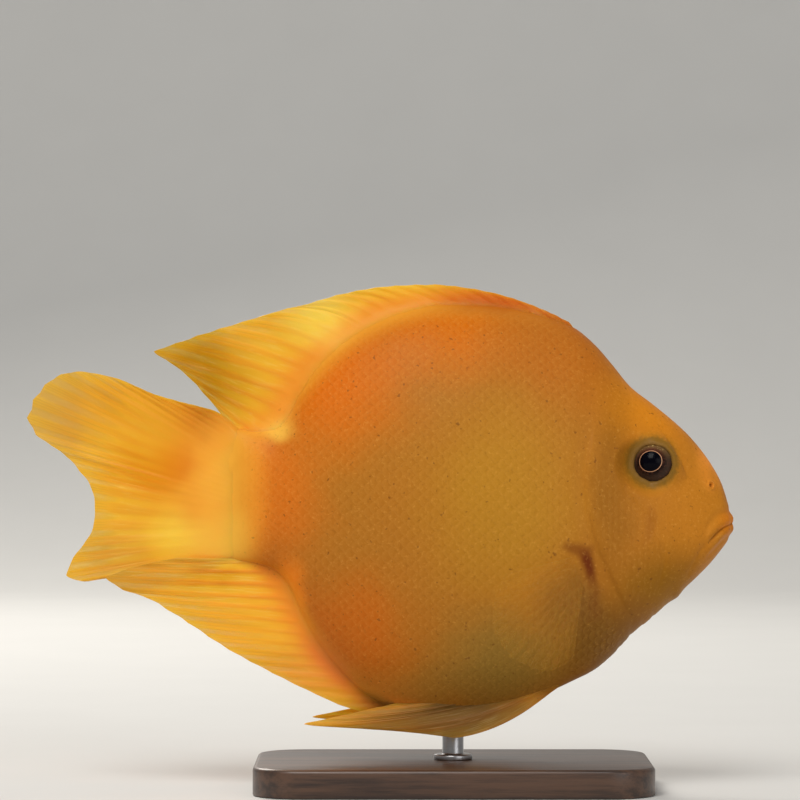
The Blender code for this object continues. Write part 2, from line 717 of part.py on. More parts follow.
def tail_fin(group):
    """The tail fin, with the longer upper lobe, swung a little to the left."""
    spread = np.linspace(*TAIL_ROOT_SPAN, TAIL_RAY_COUNT)
    roots = [(TAIL_ROOT_X, z) for z in spread]
    tips = along(TAIL_EDGE, TAIL_RAY_COUNT)
    sag = np.interp(spread, (TAIL_STRAIGHT_BELOW, TAIL_ROOT_SPAN[0]), (0.0, TAIL_TOP_SAG))
    rays = flat_rays(roots, tips, sag, TAIL_SHEET.rows, *TAIL_SWING)
    return rooted(fin("tail_fin", rays, TAIL_SHEET, group), group)


def pectoral_fin(side, name, group):
    """A rounded fan behind the gill opening, held out and back and down."""
    flare = math.radians(PECTORAL_FLARE)
    bow = (0, side * PECTORAL_BOW, 0)
    rays = []
    for share in np.linspace(0, 1, PECTORAL_RAY_COUNT):
        x, z = np.array(PECTORAL_BASE[0]) * (1 - share) + np.array(PECTORAL_BASE[1]) * share
        turn = math.radians(PECTORAL_FAN[0] + (PECTORAL_FAN[1] - PECTORAL_FAN[0]) * share)
        length = PECTORAL_LENGTH * np.interp(share, *zip(*PECTORAL_RAY_LENGTHS))
        root = np.array((x, side * (flank(x, z) - ROOT_SUNK), z))
        back, down = math.cos(turn) * math.cos(flare), math.sin(turn) * math.cos(flare)
        way = np.array((-back, side * math.sin(flare), -down))
        rays.append(ray_line(root, root + way * (length + ROOT_SUNK), bow, PECTORAL_SHEET.rows))
    return rooted(fin(name, rays, PECTORAL_SHEET, group), group)


def pelvic_fin(side, name, group):
    """A narrow fin under the breast: a spine and five soft rays that trail back along the belly."""
    roots = smooth(PELVIC_ROOTS, np.linspace(0, 1, len(PELVIC_TIPS)))
    lift = np.array(PELVIC_LEFT_LIFT) * (side > 0)
    mirrored = np.array((1.0, side, 1.0))
    rays = []
    for root, tip, sag in zip(roots, PELVIC_TIPS, PELVIC_SAG):
        tip = tip * mirrored + lift
        rays.append(ray_line(root * mirrored, tip, (0, side * PELVIC_BOW, -sag), PELVIC_SHEET.rows))
    return rooted(fin(name, rays, PELVIC_SHEET, group), group)


def stand(group):
    """A flat base with rounded corners, and one short rod with a collar up to the belly."""
    bm = bmesh.new()
    bmesh.ops.create_cube(bm, size=1.0)
    bmesh.ops.scale(bm, verts=bm.verts, vec=Vector((STAND_LENGTH, STAND_WIDTH, STAND_THICKNESS)) * MM)
    bmesh.ops.translate(bm, verts=bm.verts, vec=(0, 0, STAND_THICKNESS / 2 * MM))
    upright = [e for e in bm.edges if abs(e.verts[0].co.z - e.verts[1].co.z) > MM]
    bmesh.ops.bevel(bm, geom=upright, offset=STAND_CORNER * MM, segments=6, profile=0.5, affect="EDGES")
    top = [e for e in bm.edges if min(v.co.z for v in e.verts) > (STAND_THICKNESS - 0.01) * MM]
    bmesh.ops.bevel(bm, geom=top, offset=STAND_EDGE * MM, segments=2, profile=0.5, affect="EDGES")
    base = new_object("stand_base", mesh_of(bm, "stand_base"), group)
    foot = STAND_THICKNESS + GAP
    belly = BODY_HEIGHT + section_at(0.0).bottom
    profile = [
        (0.0, belly + ROOT_SUNK), (ROD_RADIUS, belly + ROOT_SUNK), (ROD_RADIUS, foot + ROD_COLLAR_HEIGHT),
        (ROD_COLLAR_RADIUS, foot + ROD_COLLAR_EDGE * ROD_COLLAR_HEIGHT), (ROD_COLLAR_RADIUS, foot),
        (0.0, foot),
    ]
    rod = turned(profile, 24, Vector((0, 0, 0)), Vector((0, 0, 1)), group)
    rod.name = "stand_rod"
    return [base, rooted(rod, group)]


def main():
    """Builds every piece and gives it its material."""
    clear_scene()
    group = collection("blood_parrot_cichlid")
    stand_base, stand_rod = stand(group)
    dressed = {
        finish_material("skin", SKIN): flesh(group),
        finish_material("eyes", EYES): [eye(-1, "eye_right", group), eye(1, "eye_left", group)],
        finish_material("stand_wood", STAND_WOOD): [stand_base],
        finish_material("stand_steel", STAND_STEEL): [stand_rod],
    }
    fins = [dorsal_fin(group), anal_fin(group), tail_fin(group)]
    for side, word in ((-1, "right"), (1, "left")):
        fins.append(pectoral_fin(side, f"pectoral_fin_{word}", group))
        fins.append(pelvic_fin(side, f"pelvic_fin_{word}", group))
    dressed[finish_material("fins", FINS)] = fins
    for material, pieces in dressed.items():
        for piece in pieces:
            piece.data.materials.clear()
            piece.data.materials.append(material)
            piece.data.shade_smooth()
            piece.data.set_sharp_from_angle(angle=math.radians(SHARP_ANGLE))


main()
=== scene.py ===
"""Blood parrot cichlid on a plain display stand: the visual model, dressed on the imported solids.

Sizes are in millimetres. Those of the fish are counted from the middle of its body, which lies
BODY_HEIGHT above the floor, and place() turns them into the frame's metres.
"""

import logging
import math
from dataclasses import dataclass
from enum import Enum
from typing import Callable

import bmesh
import bpy
import numpy as np
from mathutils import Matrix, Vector


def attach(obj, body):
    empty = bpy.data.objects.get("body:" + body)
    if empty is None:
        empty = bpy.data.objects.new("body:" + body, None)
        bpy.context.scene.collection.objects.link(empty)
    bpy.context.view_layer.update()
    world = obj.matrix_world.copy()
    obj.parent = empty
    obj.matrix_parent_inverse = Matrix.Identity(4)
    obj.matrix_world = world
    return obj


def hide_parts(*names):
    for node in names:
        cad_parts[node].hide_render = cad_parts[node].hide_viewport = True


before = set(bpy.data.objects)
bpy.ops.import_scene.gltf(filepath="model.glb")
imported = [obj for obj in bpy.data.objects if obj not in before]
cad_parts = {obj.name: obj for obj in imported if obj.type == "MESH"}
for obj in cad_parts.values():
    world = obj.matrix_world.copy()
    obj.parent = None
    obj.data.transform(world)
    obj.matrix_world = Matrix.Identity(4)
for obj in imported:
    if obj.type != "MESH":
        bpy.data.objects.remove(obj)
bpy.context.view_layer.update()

log = logging.getLogger("cichlid")

MM = 0.001
BODY_HEIGHT = 81.0
ENDLESS = 1e6
Pair = tuple[float, float]
Triple = tuple[float, float, float]
Outline = tuple[Pair, ...]
Array = np.ndarray
Piece = bpy.types.Object
Socket = bpy.types.NodeSocket
Tree = bpy.types.NodeTree
Material = bpy.types.Material
Node = bpy.types.Node


class Side(Enum):
    """One flank of the fish. Its value is the sign of y there."""

    RIGHT = -1
    LEFT = 1

    @property
    def word(self) -> str:
        """The side as it stands in a piece's name."""
        return self.name.lower()


# Curves and places


def place(points: Array) -> Array:
    """Millimetres from the middle of the body, turned into the frame's metres."""
    return (np.asarray(points, float) + (0.0, 0.0, BODY_HEIGHT)) * MM


def step(low: float, high: float, value: Array) -> Array:
    """A smooth step from 0 at low to 1 at high, which may lie below low."""
    share = np.clip((np.asarray(value, float) - low) / (high - low), 0, 1)
    return share * share * (3 - 2 * share)


def hump(value: Array, middle: float, width: float) -> Array:
    """A bell of height 1 around a middle."""
    return np.exp(-(((np.asarray(value, float) - middle) / width) ** 2))


def unit(rows: Array) -> Array:
    """Directions brought to length 1, one to a row."""
    return rows / np.linalg.norm(rows, axis=1)[:, None]


def smooth(values: Array, places: Array) -> Array:
    """Reads between listed values along a curve that never overshoots them.

    Args:
        values: Rows that lie at the places 0, 1, 2 and so on.
        places: Where the curve is read.

    Returns:
        One row for each place.
    """
    values = np.asarray(values, float)
    steps = np.diff(values, axis=0)
    before, after = steps[:-1], steps[1:]
    same_way = before * after > 0
    slopes = np.zeros_like(values)
    slopes[1:-1] = np.where(same_way, 2 * before * after / np.where(same_way, before + after, 1), 0)
    slopes[0], slopes[-1] = steps[0], steps[-1]
    places = np.asarray(places, float)
    low = np.clip(places.astype(int), 0, len(values) - 2)
    t = (places - low).reshape(places.shape + (1,) * (values.ndim - 1))
    a, b, m, n = values[low], values[low + 1], slopes[low], slopes[low + 1]
    rise = a * (1 + 2 * t) * (1 - t) ** 2 + b * t * t * (3 - 2 * t)
    return rise + m * t * (1 - t) ** 2 - n * t * t * (1 - t)


def along(outline: Outline, count: int) -> Array:
    """Evenly spaced points on a smooth curve.

    Args:
        outline: Points that the curve goes through.
        count: How many points to read.

    Returns:
        The points, one to a row.
    """
    fine = smooth(outline, np.linspace(0, len(outline) - 1, 40 * len(outline)))
    run = np.concatenate([[0], np.cumsum(np.linalg.norm(np.diff(fine, axis=0), axis=1))])
    shares = np.linspace(0, 1, count) * run[-1]
    return np.stack([np.interp(shares, run, column) for column in fine.T], axis=1)


def past(line: Array, run: Array, value: Array) -> Array:
    """How far places are past a line, square to it.

    Args:
        line: The line's points, as the coordinate along it, which rises, and the one across it.
        run: The places' coordinate along the line.
        value: Their coordinate across it.

    Returns:
        The distances, above 0 where the value is above the line's.
    """
    way, across = line.T
    slope = np.interp(run, way, np.gradient(across, way))
    return (value - np.interp(run, way, across)) / np.sqrt(1 + slope**2)


@dataclass(frozen=True)
class Swing:
    """How far a fin bends sideways, where its bend starts and the length over which it bends that far."""

    amount: float
    start: float
    reach: float

    def bend(self, points: Array) -> Array:
        """The points, bent sideways."""
        moved = np.array(points, float)
        share = np.clip((self.start - moved[..., 0]) / self.reach, 0, None)
        moved[..., 1] += self.amount * share**2
        return moved


# The swing of the paired fins, which don't bend sideways
STRAIGHT = Swing(0.0, -200.0, 1.0)


# Making and finishing pieces


def deselect() -> None:
    """Leaves no object selected."""
    if bpy.context.mode != "OBJECT":
        bpy.ops.object.mode_set(mode="OBJECT")
    bpy.ops.object.select_all(action="DESELECT")


def only(piece: Piece) -> Piece:
    """Selects one piece alone and makes it active."""
    deselect()
    piece.select_set(True)
    bpy.context.view_layer.objects.active = piece
    return piece


def named(name: str) -> Piece:
    """Names the piece that an operator has just added, and puts its place into its mesh."""
    piece = bpy.context.active_object
    piece.name = piece.data.name = name
    bpy.ops.object.transform_apply(location=True, rotation=True, scale=True)
    return piece


def points_of(piece: Piece) -> Array:
    """The places of a mesh's points, one to a row."""
    flat = np.empty(len(piece.data.vertices) * 3, np.float64)
    piece.data.vertices.foreach_get("co", flat)
    return flat.reshape(-1, 3)


def set_points(piece: Piece, points: Array) -> None:
    """Moves a mesh's points to new places."""
    piece.data.vertices.foreach_set("co", np.asarray(points, np.float32).ravel())
    piece.data.update()


def normals_of(piece: Piece) -> Array:
    """The direction in which a mesh faces at each point."""
    flat = np.empty(len(piece.data.vertices) * 3, np.float32)
    piece.data.vertex_normals.foreach_get("vector", flat)
    return flat.reshape(-1, 3).astype(float)


def paint(piece: Piece, name: str, values: Array) -> None:
    """Gives each point of a mesh a number, for its material to read."""
    layer = piece.data.attributes.new(name=name, type="FLOAT", domain="POINT")
    layer.data.foreach_set("value", np.asarray(values, np.float32).ravel())


def apply_modifiers(piece: Piece) -> None:
    """Makes all of a piece's modifiers part of its mesh."""
    only(piece)
    for modifier in list(piece.modifiers):
        bpy.ops.object.modifier_apply(modifier=modifier.name)


def dress(piece: Piece, finish: Material, angle: float = 40.0) -> None:
    """Gives a piece its material and smooth faces, and fastens it to the frame.

    Args:
        piece: The finished mesh.
        finish: Its material.
        angle: Edges sharper than this many degrees stay sharp.
    """
    piece.data.materials.clear()
    piece.data.materials.append(finish)
    only(piece)
    bpy.ops.object.shade_smooth_by_angle(angle=math.radians(angle))
    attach(piece, "root")
    deselect()
    log.info("%s: %d faces", piece.name, len(piece.data.polygons))


def in_scene(name: str, data: object) -> Piece:
    """Puts a mesh, a light or a camera into the scene."""
    made = bpy.data.objects.new(name, data)
    bpy.context.scene.collection.objects.link(made)
    return made


def lay_uv(piece: Piece, name: str, places: Array) -> None:
    """Gives a mesh a UV map in place of any that it has.

    Args:
        piece: The mesh.
        name: The map's name.
        places: The u and v of each of its points.
    """
    layers = piece.data.uv_layers
    for old in list(layers):
        layers.remove(old)
    loops = np.empty(len(piece.data.loops), np.int32)
    piece.data.loops.foreach_get("vertex_index", loops)
    layers.new(name=name).data.foreach_set("uv", places[loops].astype(np.float32).ravel())


def pick(piece: Piece, kind: str, chosen: Callable) -> None:
    """Opens a mesh for editing, with the edges or faces selected that pass a test.

    Args:
        piece: The mesh.
        kind: EDGE or FACE.
        chosen: The test.
    """
    only(piece)
    bpy.ops.object.mode_set(mode="EDIT")
    bpy.ops.mesh.select_mode(type=kind)
    bpy.ops.mesh.select_all(action="DESELECT")
    bm = bmesh.from_edit_mesh(piece.data)
    for part in bm.edges if kind == "EDGE" else bm.faces:
        part.select_set(bool(chosen(part)))
    bmesh.update_edit_mesh(piece.data)


# Node trees


def linear(red: float, green: float, blue: float) -> tuple[float, float, float, float]:
    """A screen colour, from 0 to 255, as the linear colour that a shader takes."""
    parts = [c / 255 for c in (red, green, blue)]
    return (*[c / 12.92 if c <= 0.04045 else ((c + 0.055) / 1.055) ** 2.4 for c in parts], 1.0)


class Wiring:
    """A node tree, with short ways to add nodes and join them."""

    def __init__(self, tree: Tree) -> None:
        """Starts on a tree, which may already hold nodes."""
        self.tree = tree

    def fill(self, made: Node, inputs: object) -> Node:
        """Sets inputs, by name or number, to values, or links them to other sockets."""
        for key, value in dict(inputs).items():
            if isinstance(value, Socket):
                self.tree.links.new(value, made.inputs[key])
            else:
                made.inputs[key].default_value = value
        return made

    def add(self, kind: str, inputs: object = (), **settings: object) -> Node:
        """A new shader node of a kind, with its properties set and its inputs filled."""
        made = self.tree.nodes.new("ShaderNode" + kind)
        for name, value in settings.items():
            setattr(made, name, value)
        return self.fill(made, inputs)

    def math(self, operation: str, *values: object, clamp: bool = False) -> Socket:
        """The result of a Math node."""
        return self.add("Math", enumerate(values), operation=operation, use_clamp=clamp).outputs[0]

    def times(self, one: object, two: object) -> Socket:
        """One number times another."""
        return self.math("MULTIPLY", one, two)

    def plus(self, one: object, two: object) -> Socket:
        """One number plus another."""
        return self.math("ADD", one, two)

    def ramp(self, value: object, low: float, high: float, start: float = 0.0, end: float = 1.0) -> Socket:
        """A smooth step from start at low to end at high, where low may be the larger."""
        if low > high:
            low, high, start, end = high, low, end, start
        inputs = enumerate((value, low, high, start, end))
        return self.add("MapRange", inputs, interpolation_type="SMOOTHSTEP").outputs[0]

    def blend(self, factor: object, one: object, two: object, kind: str = "MIX") -> Socket:
        """Two colours mixed by a factor."""
        return self.add("Mix", {0: factor, 6: one, 7: two}, data_type="RGBA", blend_type=kind).outputs[2]

    def tint(self, under: object, mask: object, amount: float, colour: Triple) -> Socket:
        """A colour with a screen colour laid over it, as much as a mask and an amount say."""
        return self.blend(self.times(mask, amount), under, linear(*colour))

    def noise(
        self, spot: object, scale: float, detail: float = 2.0, rough: float = 0.5, output: int = 0,
    ) -> Socket:
        """A noise value around a half, or a noise colour where the output is 1."""
        inputs = {"Vector": spot, "Scale": scale, "Detail": detail, "Roughness": rough}
        return self.add("TexNoise", inputs).outputs[output]

    def vector(self, operation: str, *values: object, output: str = "Vector") -> Socket:
        """A result of a Vector Math node."""
        return self.add("VectorMath", enumerate(values), operation=operation).outputs[output]

    def reach(self, spot: object, centre: Triple, radii: Triple) -> Socket:
        """How far a place is from an ellipsoid's middle, where 1 is its surface."""
        away = self.vector("DIVIDE", self.vector("SUBTRACT", spot, centre), radii)
        return self.vector("LENGTH", away, output="Value")

    def attribute(self, name: str) -> Socket:
        """A number that the mesh's points carry."""
        return self.add("Attribute", attribute_name=name).outputs["Fac"]

    def scaled(self, spot: object, scale: Triple, shift: Triple = (0.0, 0.0, 0.0)) -> Socket:
        """A place scaled along each axis and then shifted."""
        return self.add("Mapping", {"Vector": spot, "Scale": scale, "Location": shift}).outputs[0]

    def fish_place(self) -> Socket:
        """The place in millimetres from the middle of the body."""
        return self.scaled(self.add("TexCoord").outputs["Object"], (1 / MM,) * 3, (0.0, 0.0, -BODY_HEIGHT))

    def bump(self, height: object, strength: float, distance: float) -> Socket:
        """A normal from a height, with the distance in millimetres."""
        inputs = {"Strength": strength, "Distance": distance * MM, "Height": height}
        return self.add("Bump", inputs).outputs[0]

    def surface(self, shader: Node, colour: Socket, rough: Socket, normal: Socket) -> None:
        """Feeds a shader its colour, roughness and normal."""
        self.fill(shader, {"Base Color": colour, "Roughness": rough, "Normal": normal})


def principled(name: str, **settings: object) -> tuple[Material, Wiring, Node]:
    """A material with a Principled shader, its constant sockets set.

    Args:
        name: The material's name.
        settings: Socket names, with underscores for spaces, and their values.

    Returns:
        The material, its wiring and its shader node.
    """
    made = bpy.data.materials.new(name)
    made.use_nodes = True
    shader = made.node_tree.nodes["Principled BSDF"]
    w = Wiring(made.node_tree)
    w.fill(shader, {socket.replace("_", " "): value for socket, value in settings.items()})
    return made, w, shader


# The trunk's form, which the skin, scales, eyes and fins share


@dataclass(frozen=True)
class Trunk:
    """The body without its fins: cross-sections from the snout to the tail, and the soft forms on them.

    A section is its place x, its top and bottom, its half width, the height where it is widest,
    and the roundness of its ridge and keel.
    """

    sections: tuple[tuple[float, ...], ...] = (
        (79.2, -6.2, -6.5, 0.02, -6.3, 2, 2),
        (79.1, -4.6, -8.2, 1.4, -6.3, 2, 2),
        (78.4, -2.4, -9.9, 2.8, -6.4, 2, 2),
        (77.7, 0.1, -11.2, 4.6, -6.7, 2.1, 2),
        (76, 5.3, -13.5, 6.9, -7.4, 2.1, 2),
        (73.2, 10.5, -17, 9.1, -8.4, 2.1, 2),
        (68, 17.4, -22.3, 12.3, -9.4, 2.1, 2),
        (62.3, 23, -27.4, 15, -10, 2.1, 1.95),
        (56.5, 27.7, -32.6, 17.4, -10, 2.05, 1.9),
        (50.5, 32.4, -37.7, 19.4, -9.6, 2, 1.9),
        (45, 38.9, -43.5, 20.9, -9, 1.9, 1.9),
        (39.5, 45.1, -48, 22.1, -8, 1.85, 1.9),
        (33, 50, -51.2, 23, -7, 1.8, 1.95),
        (22, 53.4, -55.8, 24, -5.5, 1.75, 2),
        (10, 55.6, -59.4, 24.4, -4, 1.7, 2.05),
        (-3, 56, -61.2, 23.6, -3, 1.7, 2.05),
        (-14, 54.2, -59.6, 21.9, -2, 1.7, 2),
        (-24, 50.2, -54.8, 19.3, -1, 1.7, 1.9),
        (-32.5, 44.4, -47.4, 16.6, 0, 1.7, 1.8),
        (-39, 37.6, -39.2, 14.2, 0.5, 1.75, 1.75),
        (-43.5, 30.4, -30.8, 12.4, 0.8, 1.8, 1.8),
        (-46.8, 24, -23.6, 11, 1, 1.9, 1.9),
        (-50.8, 20.4, -19.2, 9.4, 1, 2, 2),
        (-56, 19.9, -17.4, 7.2, 1, 2.1, 2.1),
        (-60.2, 20.4, -16.8, 4.8, 1, 2.2, 2.2),
        (-63, 20.4, -16.2, 2.9, 1, 2.2, 2.2),
        (-66.5, 19.6, -15.2, 1.5, 1, 2.2, 2.2),
        (-70.5, 17.2, -12.6, 0.7, 1, 2.2, 2.2),
        (-73.5, 10, -6.4, 0.25, 1, 2.2, 2.2),
        (-74.4, 1.4, 0.6, 0.02, 1, 2.2, 2.2),
    )
    tail_swing: Swing = Swing(5.0, -60.0, 60.0)
    gill_opening: Outline = (
        (45.5, 60), (42.4, 38), (38.4, 20), (36.4, 4), (38.6, -8),
        (42.6, -18), (47.6, -28), (53.4, -36.6), (61, -48),
    )
    cheek_line: Outline = (
        (46.6, 12.0), (47.4, 6.0), (49.2, 1.0), (52.8, -2.9),
        (56.4, -7.0), (58.4, -11.4), (58.9, -17.0), (57.4, -24.0),
    )
    gape: Outline = ((84.0, -5.0), (76.8, -6.9), (71.2, -11.4))
    eye_spot: Pair = (57.9, 12.1)
    eye_radius: float = 6.4
    eye_stands_out: float = 2.3
    gaze: Triple = (-0.22, 1.0, 0.14)
    opening: Triple = (-0.12, 1.0, 0.06)
    socket: float = 5.25
    oval: Triple = (0.97, 1.0, 1.05)
    nostril: Pair = (72.6, 4.8)
    gill_swell: float = 0.34
    gill_slit: float = 0.34
    cheek_furrow: float = 0.3
    cheek_swell: float = 0.22
    lip_height: float = 0.6
    lip_crease: float = 0.2
    mouth_depth: float = 0.5
    mouth_corner: Pair = (70.2, -12.6)
    corner_depth: float = 0.3
    chin_line: Outline = ((70.4, -12.4), (67.8, -16.6), (64.9, -23.2))
    chin_depth: float = 0.2
    throat_bump: float = 0.55
    fold_depth: float = 0.2
    fold_spacing: float = 3.2
    lid_gap: float = 0.3
    lid_height: float = 0.35
    socket_depth: float = 3.4
    nostril_rim: float = 0.34
    nostril_depth: float = 1.3
    unevenness: float = 0.09

    def fine(self) -> Array:
        """Many sections, read along the smooth curve through the listed ones, from tail to snout."""
        places = np.linspace(0, len(self.sections) - 1, 40 * len(self.sections))
        return smooth(self.sections, places)[::-1]

    def rows(self, x: Array) -> Array:
        """One section for each x."""
        fine = self.fine()
        return np.stack([np.interp(x, fine[:, 0], fine[:, k]) for k in range(7)], axis=-1)

    @staticmethod
    def arch(rows: Array, above: Array) -> tuple[Array, Array]:
        """How far sections reach above or below their widest line, and how round they are there."""
        _, top, bottom, _, widest, ridge, keel = np.moveaxis(rows, -1, 0)
        return np.where(above, top - widest, widest - bottom), np.where(above, ridge, keel)

    @staticmethod
    def ring_point(rows: Array, turn: Array) -> Array:
        """Points on sections.

        Args:
            rows: One section to a row.
            turn: The angle from the ridge of each point, towards the left.

        Returns:
            The points, one to a row.
        """
        up, out = np.cos(turn), np.sin(turn)
        x, half, widest = (rows[..., column] for column in (0, 3, 4))
        reach, roundness = Trunk.arch(rows, up > 0)
        y = half * np.sign(out) * np.abs(out) ** (2 / roundness)
        z = widest + reach * np.sign(up) * np.abs(up) ** (2 / roundness)
        return np.stack(np.broadcast_arrays(x, y, z), axis=-1)

    def flank(self, x: Array, z: Array) -> Array:
        """How far the surface is from the middle plane, seen from the side."""
        rows = self.rows(np.asarray(x, float))
        half, widest = rows[..., 3], rows[..., 4]
        reach, roundness = self.arch(rows, z > widest)
        share = np.clip(np.abs(z - widest) / reach, 0, 1)
        return half * (1 - share**roundness) ** (1 / roundness)

    def outward(self, spot: Pair, side: Side) -> Vector:
        """The direction in which the surface faces at a spot seen from the side."""
        x, z = spot
        reach = 0.5
        slope_x = (self.flank(x + reach, z) - self.flank(x - reach, z)) / (2 * reach)
        slope_z = (self.flank(x, z + reach) - self.flank(x, z - reach)) / (2 * reach)
        return Vector((-float(slope_x), side.value, -float(slope_z))).normalized()

    def on_skin(self, spot: Pair, side: Side) -> Vector:
        """The place on the surface at a spot seen from the side."""
        return Vector((spot[0], side.value * float(self.flank(*spot)), spot[1]))

    def eye_centre(self, side: Side) -> Vector:
        """The middle of an eyeball."""
        sunk = self.eye_radius - self.eye_stands_out
        return self.on_skin(self.eye_spot, side) - self.outward(self.eye_spot, side) * sunk

    def behind_gill(self, x: Array, z: Array) -> Array:
        """How far a place is behind the gill opening, and below 0 in front of it."""
        return -past(along(self.gill_opening, 200)[::-1, ::-1], z, x)

    def from_line(self, line: Outline, x: Array, z: Array) -> tuple[Array, Array]:
        """How far places are from a line that falls from its first point to its last.

        Args:
            line: The line's points seen from the side.
            x: The places' x.
            z: The places' heights.

        Returns:
            The distance, above 0 in front of the line, and the share of the line's height at
            which the place lies, from 0 at its top.
        """
        fine = along(line, 100)[::-1, ::-1]
        share = (fine[-1, 0] - z) / (fine[-1, 0] - fine[0, 0])
        return past(fine, z, x), share

    def above_gape(self, x: Array, z: Array) -> Array:
        """How far a place is above the line of the mouth, and below 0 under it."""
        line = along(self.gape, 60)[::-1]
        inner_end = 2 * line[0] - line[8]
        return past(np.vstack([inner_end, line]), x, z)

    def gill_relief(self, x: Array, z: Array) -> Array:
        """The gill cover's swell and its rear edge, with the slit behind it."""
        behind = self.behind_gill(x, z)
        length = step(26.0, 13.0, z) * (0.25 + 0.75 * step(-36.0, -20.0, z)) * step(-44.0, -36.0, z)
        swell = self.gill_swell * step(13.0, 0.8, -behind) * step(-0.5, 0.8, -behind)
        slit = -self.gill_slit * step(-0.9, 0.4, behind) * step(4.6, 0.8, behind)
        return length * (swell + slit)

    def cheek_relief(self, x: Array, z: Array) -> Array:
        """The shallow furrow behind the cheek, and the swell of the cheek in front of it."""
        front, share = self.from_line(self.cheek_line, x, z)
        fade = step(-0.05, 0.2, share) * step(1.05, 0.75, share)
        furrow = -self.cheek_furrow * hump(front, 0.0, 0.8)
        return fade * (furrow + self.cheek_swell * hump(front, 2.6, 2.4))

    def mouth_relief(self, x: Array, z: Array) -> Array:
        """The lips, the parted mouth between them and the creases round them."""
        height = self.above_gape(x, z)
        inside = step(70.4, 72.2, x)
        full = 0.9 - 0.4 * step(74.0, 78.5, x)
        full = self.lip_height * full
        upper = full * hump(height, 1.45, 1.1) - self.lip_crease * hump(height, 3.7, 0.8)
        lower = full * hump(height, -1.4, 1.0) - self.lip_crease * hump(height, -3.3, 0.8)
        parting = -self.mouth_depth * hump(height, 0.0, 0.34)
        parting = parting * step(71.0, 73.4, x) * (1 - 0.7 * step(75.5, 78.5, x))
        corner_x, corner_z = self.mouth_corner
        corner = -self.corner_depth * hump(np.hypot(x - corner_x, z - corner_z), 0.0, 1.3)
        chin = -self.chin_depth * hump(self.from_line(self.chin_line, x, z)[0], 0.0, 0.7)
        chin = chin * step(-23.0, -19.0, z) * step(-11.8, -13.4, z)
        return inside * (upper + lower + parting) + corner + chin

    def throat_relief(self, x: Array, z: Array) -> Array:
        """The small bump of the chin's keel, and the folds under the throat."""
        keel = self.rows(x)[..., 2]
        low = hump(z - keel, 0.0, 2.6)
        folds = -self.fold_depth * hump(np.mod(x - 55.0, self.fold_spacing) - self.fold_spacing / 2, 0.0, 0.5)
        folds = folds * step(44.0, 48.0, x) * step(61.0, 58.0, x)
        return low * (self.throat_bump * hump(x, 63.2, 1.5) + folds)

    @staticmethod
    def sideways(way: Triple, side: Side) -> Array:
        """A direction given for the left flank, for either side."""
        x, y, z = way
        return np.array(Vector((x, y * side.value, z)).normalized())

    def set_sockets(self, points: Array) -> Array:
        """Draws the skin round each eyeball in to a rim that lies close on the ball.

        Args:
            points: Places on the skin.

        Returns:
            The moved places.
        """
        moved = points.copy()
        rim_height = math.sqrt(self.eye_radius**2 - self.socket**2)
        for side in Side:
            axis = self.sideways(self.opening, side)
            away = points - np.array(self.eye_centre(side))
            height = away @ axis
            turn = np.arctan2(away[:, 2], away[:, 0])
            r = np.linalg.norm((away - np.outer(height, axis)) * self.oval, axis=1)
            r = r + 0.07 * np.sin(5 * turn + 0.7) + 0.05 * np.sin(11 * turn)
            near = step(self.socket + 5.0, self.socket + 0.3, r) * (height > 0)
            target = rim_height + self.lid_gap + self.lid_height * hump(r, self.socket + 0.75, 0.6)
            sunk = self.socket_depth * step(self.socket + 0.1, self.socket - 1.0, r)
            moved += np.outer(near * (target - height) - sunk * (height > 0), axis)
        return moved

    def head_relief(self, points: Array) -> Array:
        """The rims of the nostrils, with the pits inside them."""
        total = np.zeros(len(points))
        for side in Side:
            flank = points[:, 1] * side.value > 0
            axis = np.array(self.outward(self.nostril, side))
            away = points - np.array(self.on_skin(self.nostril, side))
            r = np.linalg.norm(away - np.outer(away @ axis, axis), axis=1)
            rim = self.nostril_rim * hump(r, 1.05, 0.42)
            total += np.where(flank, rim - self.nostril_depth * step(0.85, 0.25, r), 0)
        return total

    def swells(self, points: Array) -> Array:
        """Slow, slight unevenness of the flesh, unlike on the two sides."""
        x, y, z = points.T
        side = np.sign(y)
        waves = np.sin(x / 7.1 + 0.9 * side) * np.sin(z / 8.3 + 1.3) + 0.6 * np.sin(x / 4.3 - z / 5.9 + side)
        return self.unevenness * waves * step(72.0, 60.0, x) * step(-64.0, -50.0, x)

    def relief(self, points: Array, openings: bool = True) -> Array:
        """How far the skin stands above the sections.

        Args:
            points: Places on the sections.
            openings: Whether the rims and hollows of the head count.

        Returns:
            A height in millimetres for each point.
        """
        x, _, z = points.T
        total = self.gill_relief(x, z) + self.cheek_relief(x, z) + self.swells(points)
        total = total + self.throat_relief(x, z)
        if openings:
            total = total + self.mouth_relief(x, z) + self.head_relief(points)
        return total


# The fish's colours, with their painted shade and painted light, which the skin, the scales and the roots of
# the fins share


@dataclass(frozen=True)
class Patch:
    """A soft-edged oval seen from the side: its middle, its radii, its screen colour and its strength."""

    x: float
    z: float
    wide: float
    high: float
    red: float
    green: float
    blue: float
    strength: float = 1.0

    def lay(self, w: Wiring, spot: Socket, under: object) -> Socket:
        """Lays the patch over a colour.

        Args:
            w: The tree to work in.
            spot: The place in millimetres.
            under: The colour below.

        Returns:
            The mixed colour.
        """
        r = w.reach(spot, (self.x, 0.0, self.z), (self.wide, ENDLESS, self.high))
        mask = w.ramp(r, 1.0, 0.15, 0.0, self.strength)
        return w.blend(mask, under, linear(self.red, self.green, self.blue))


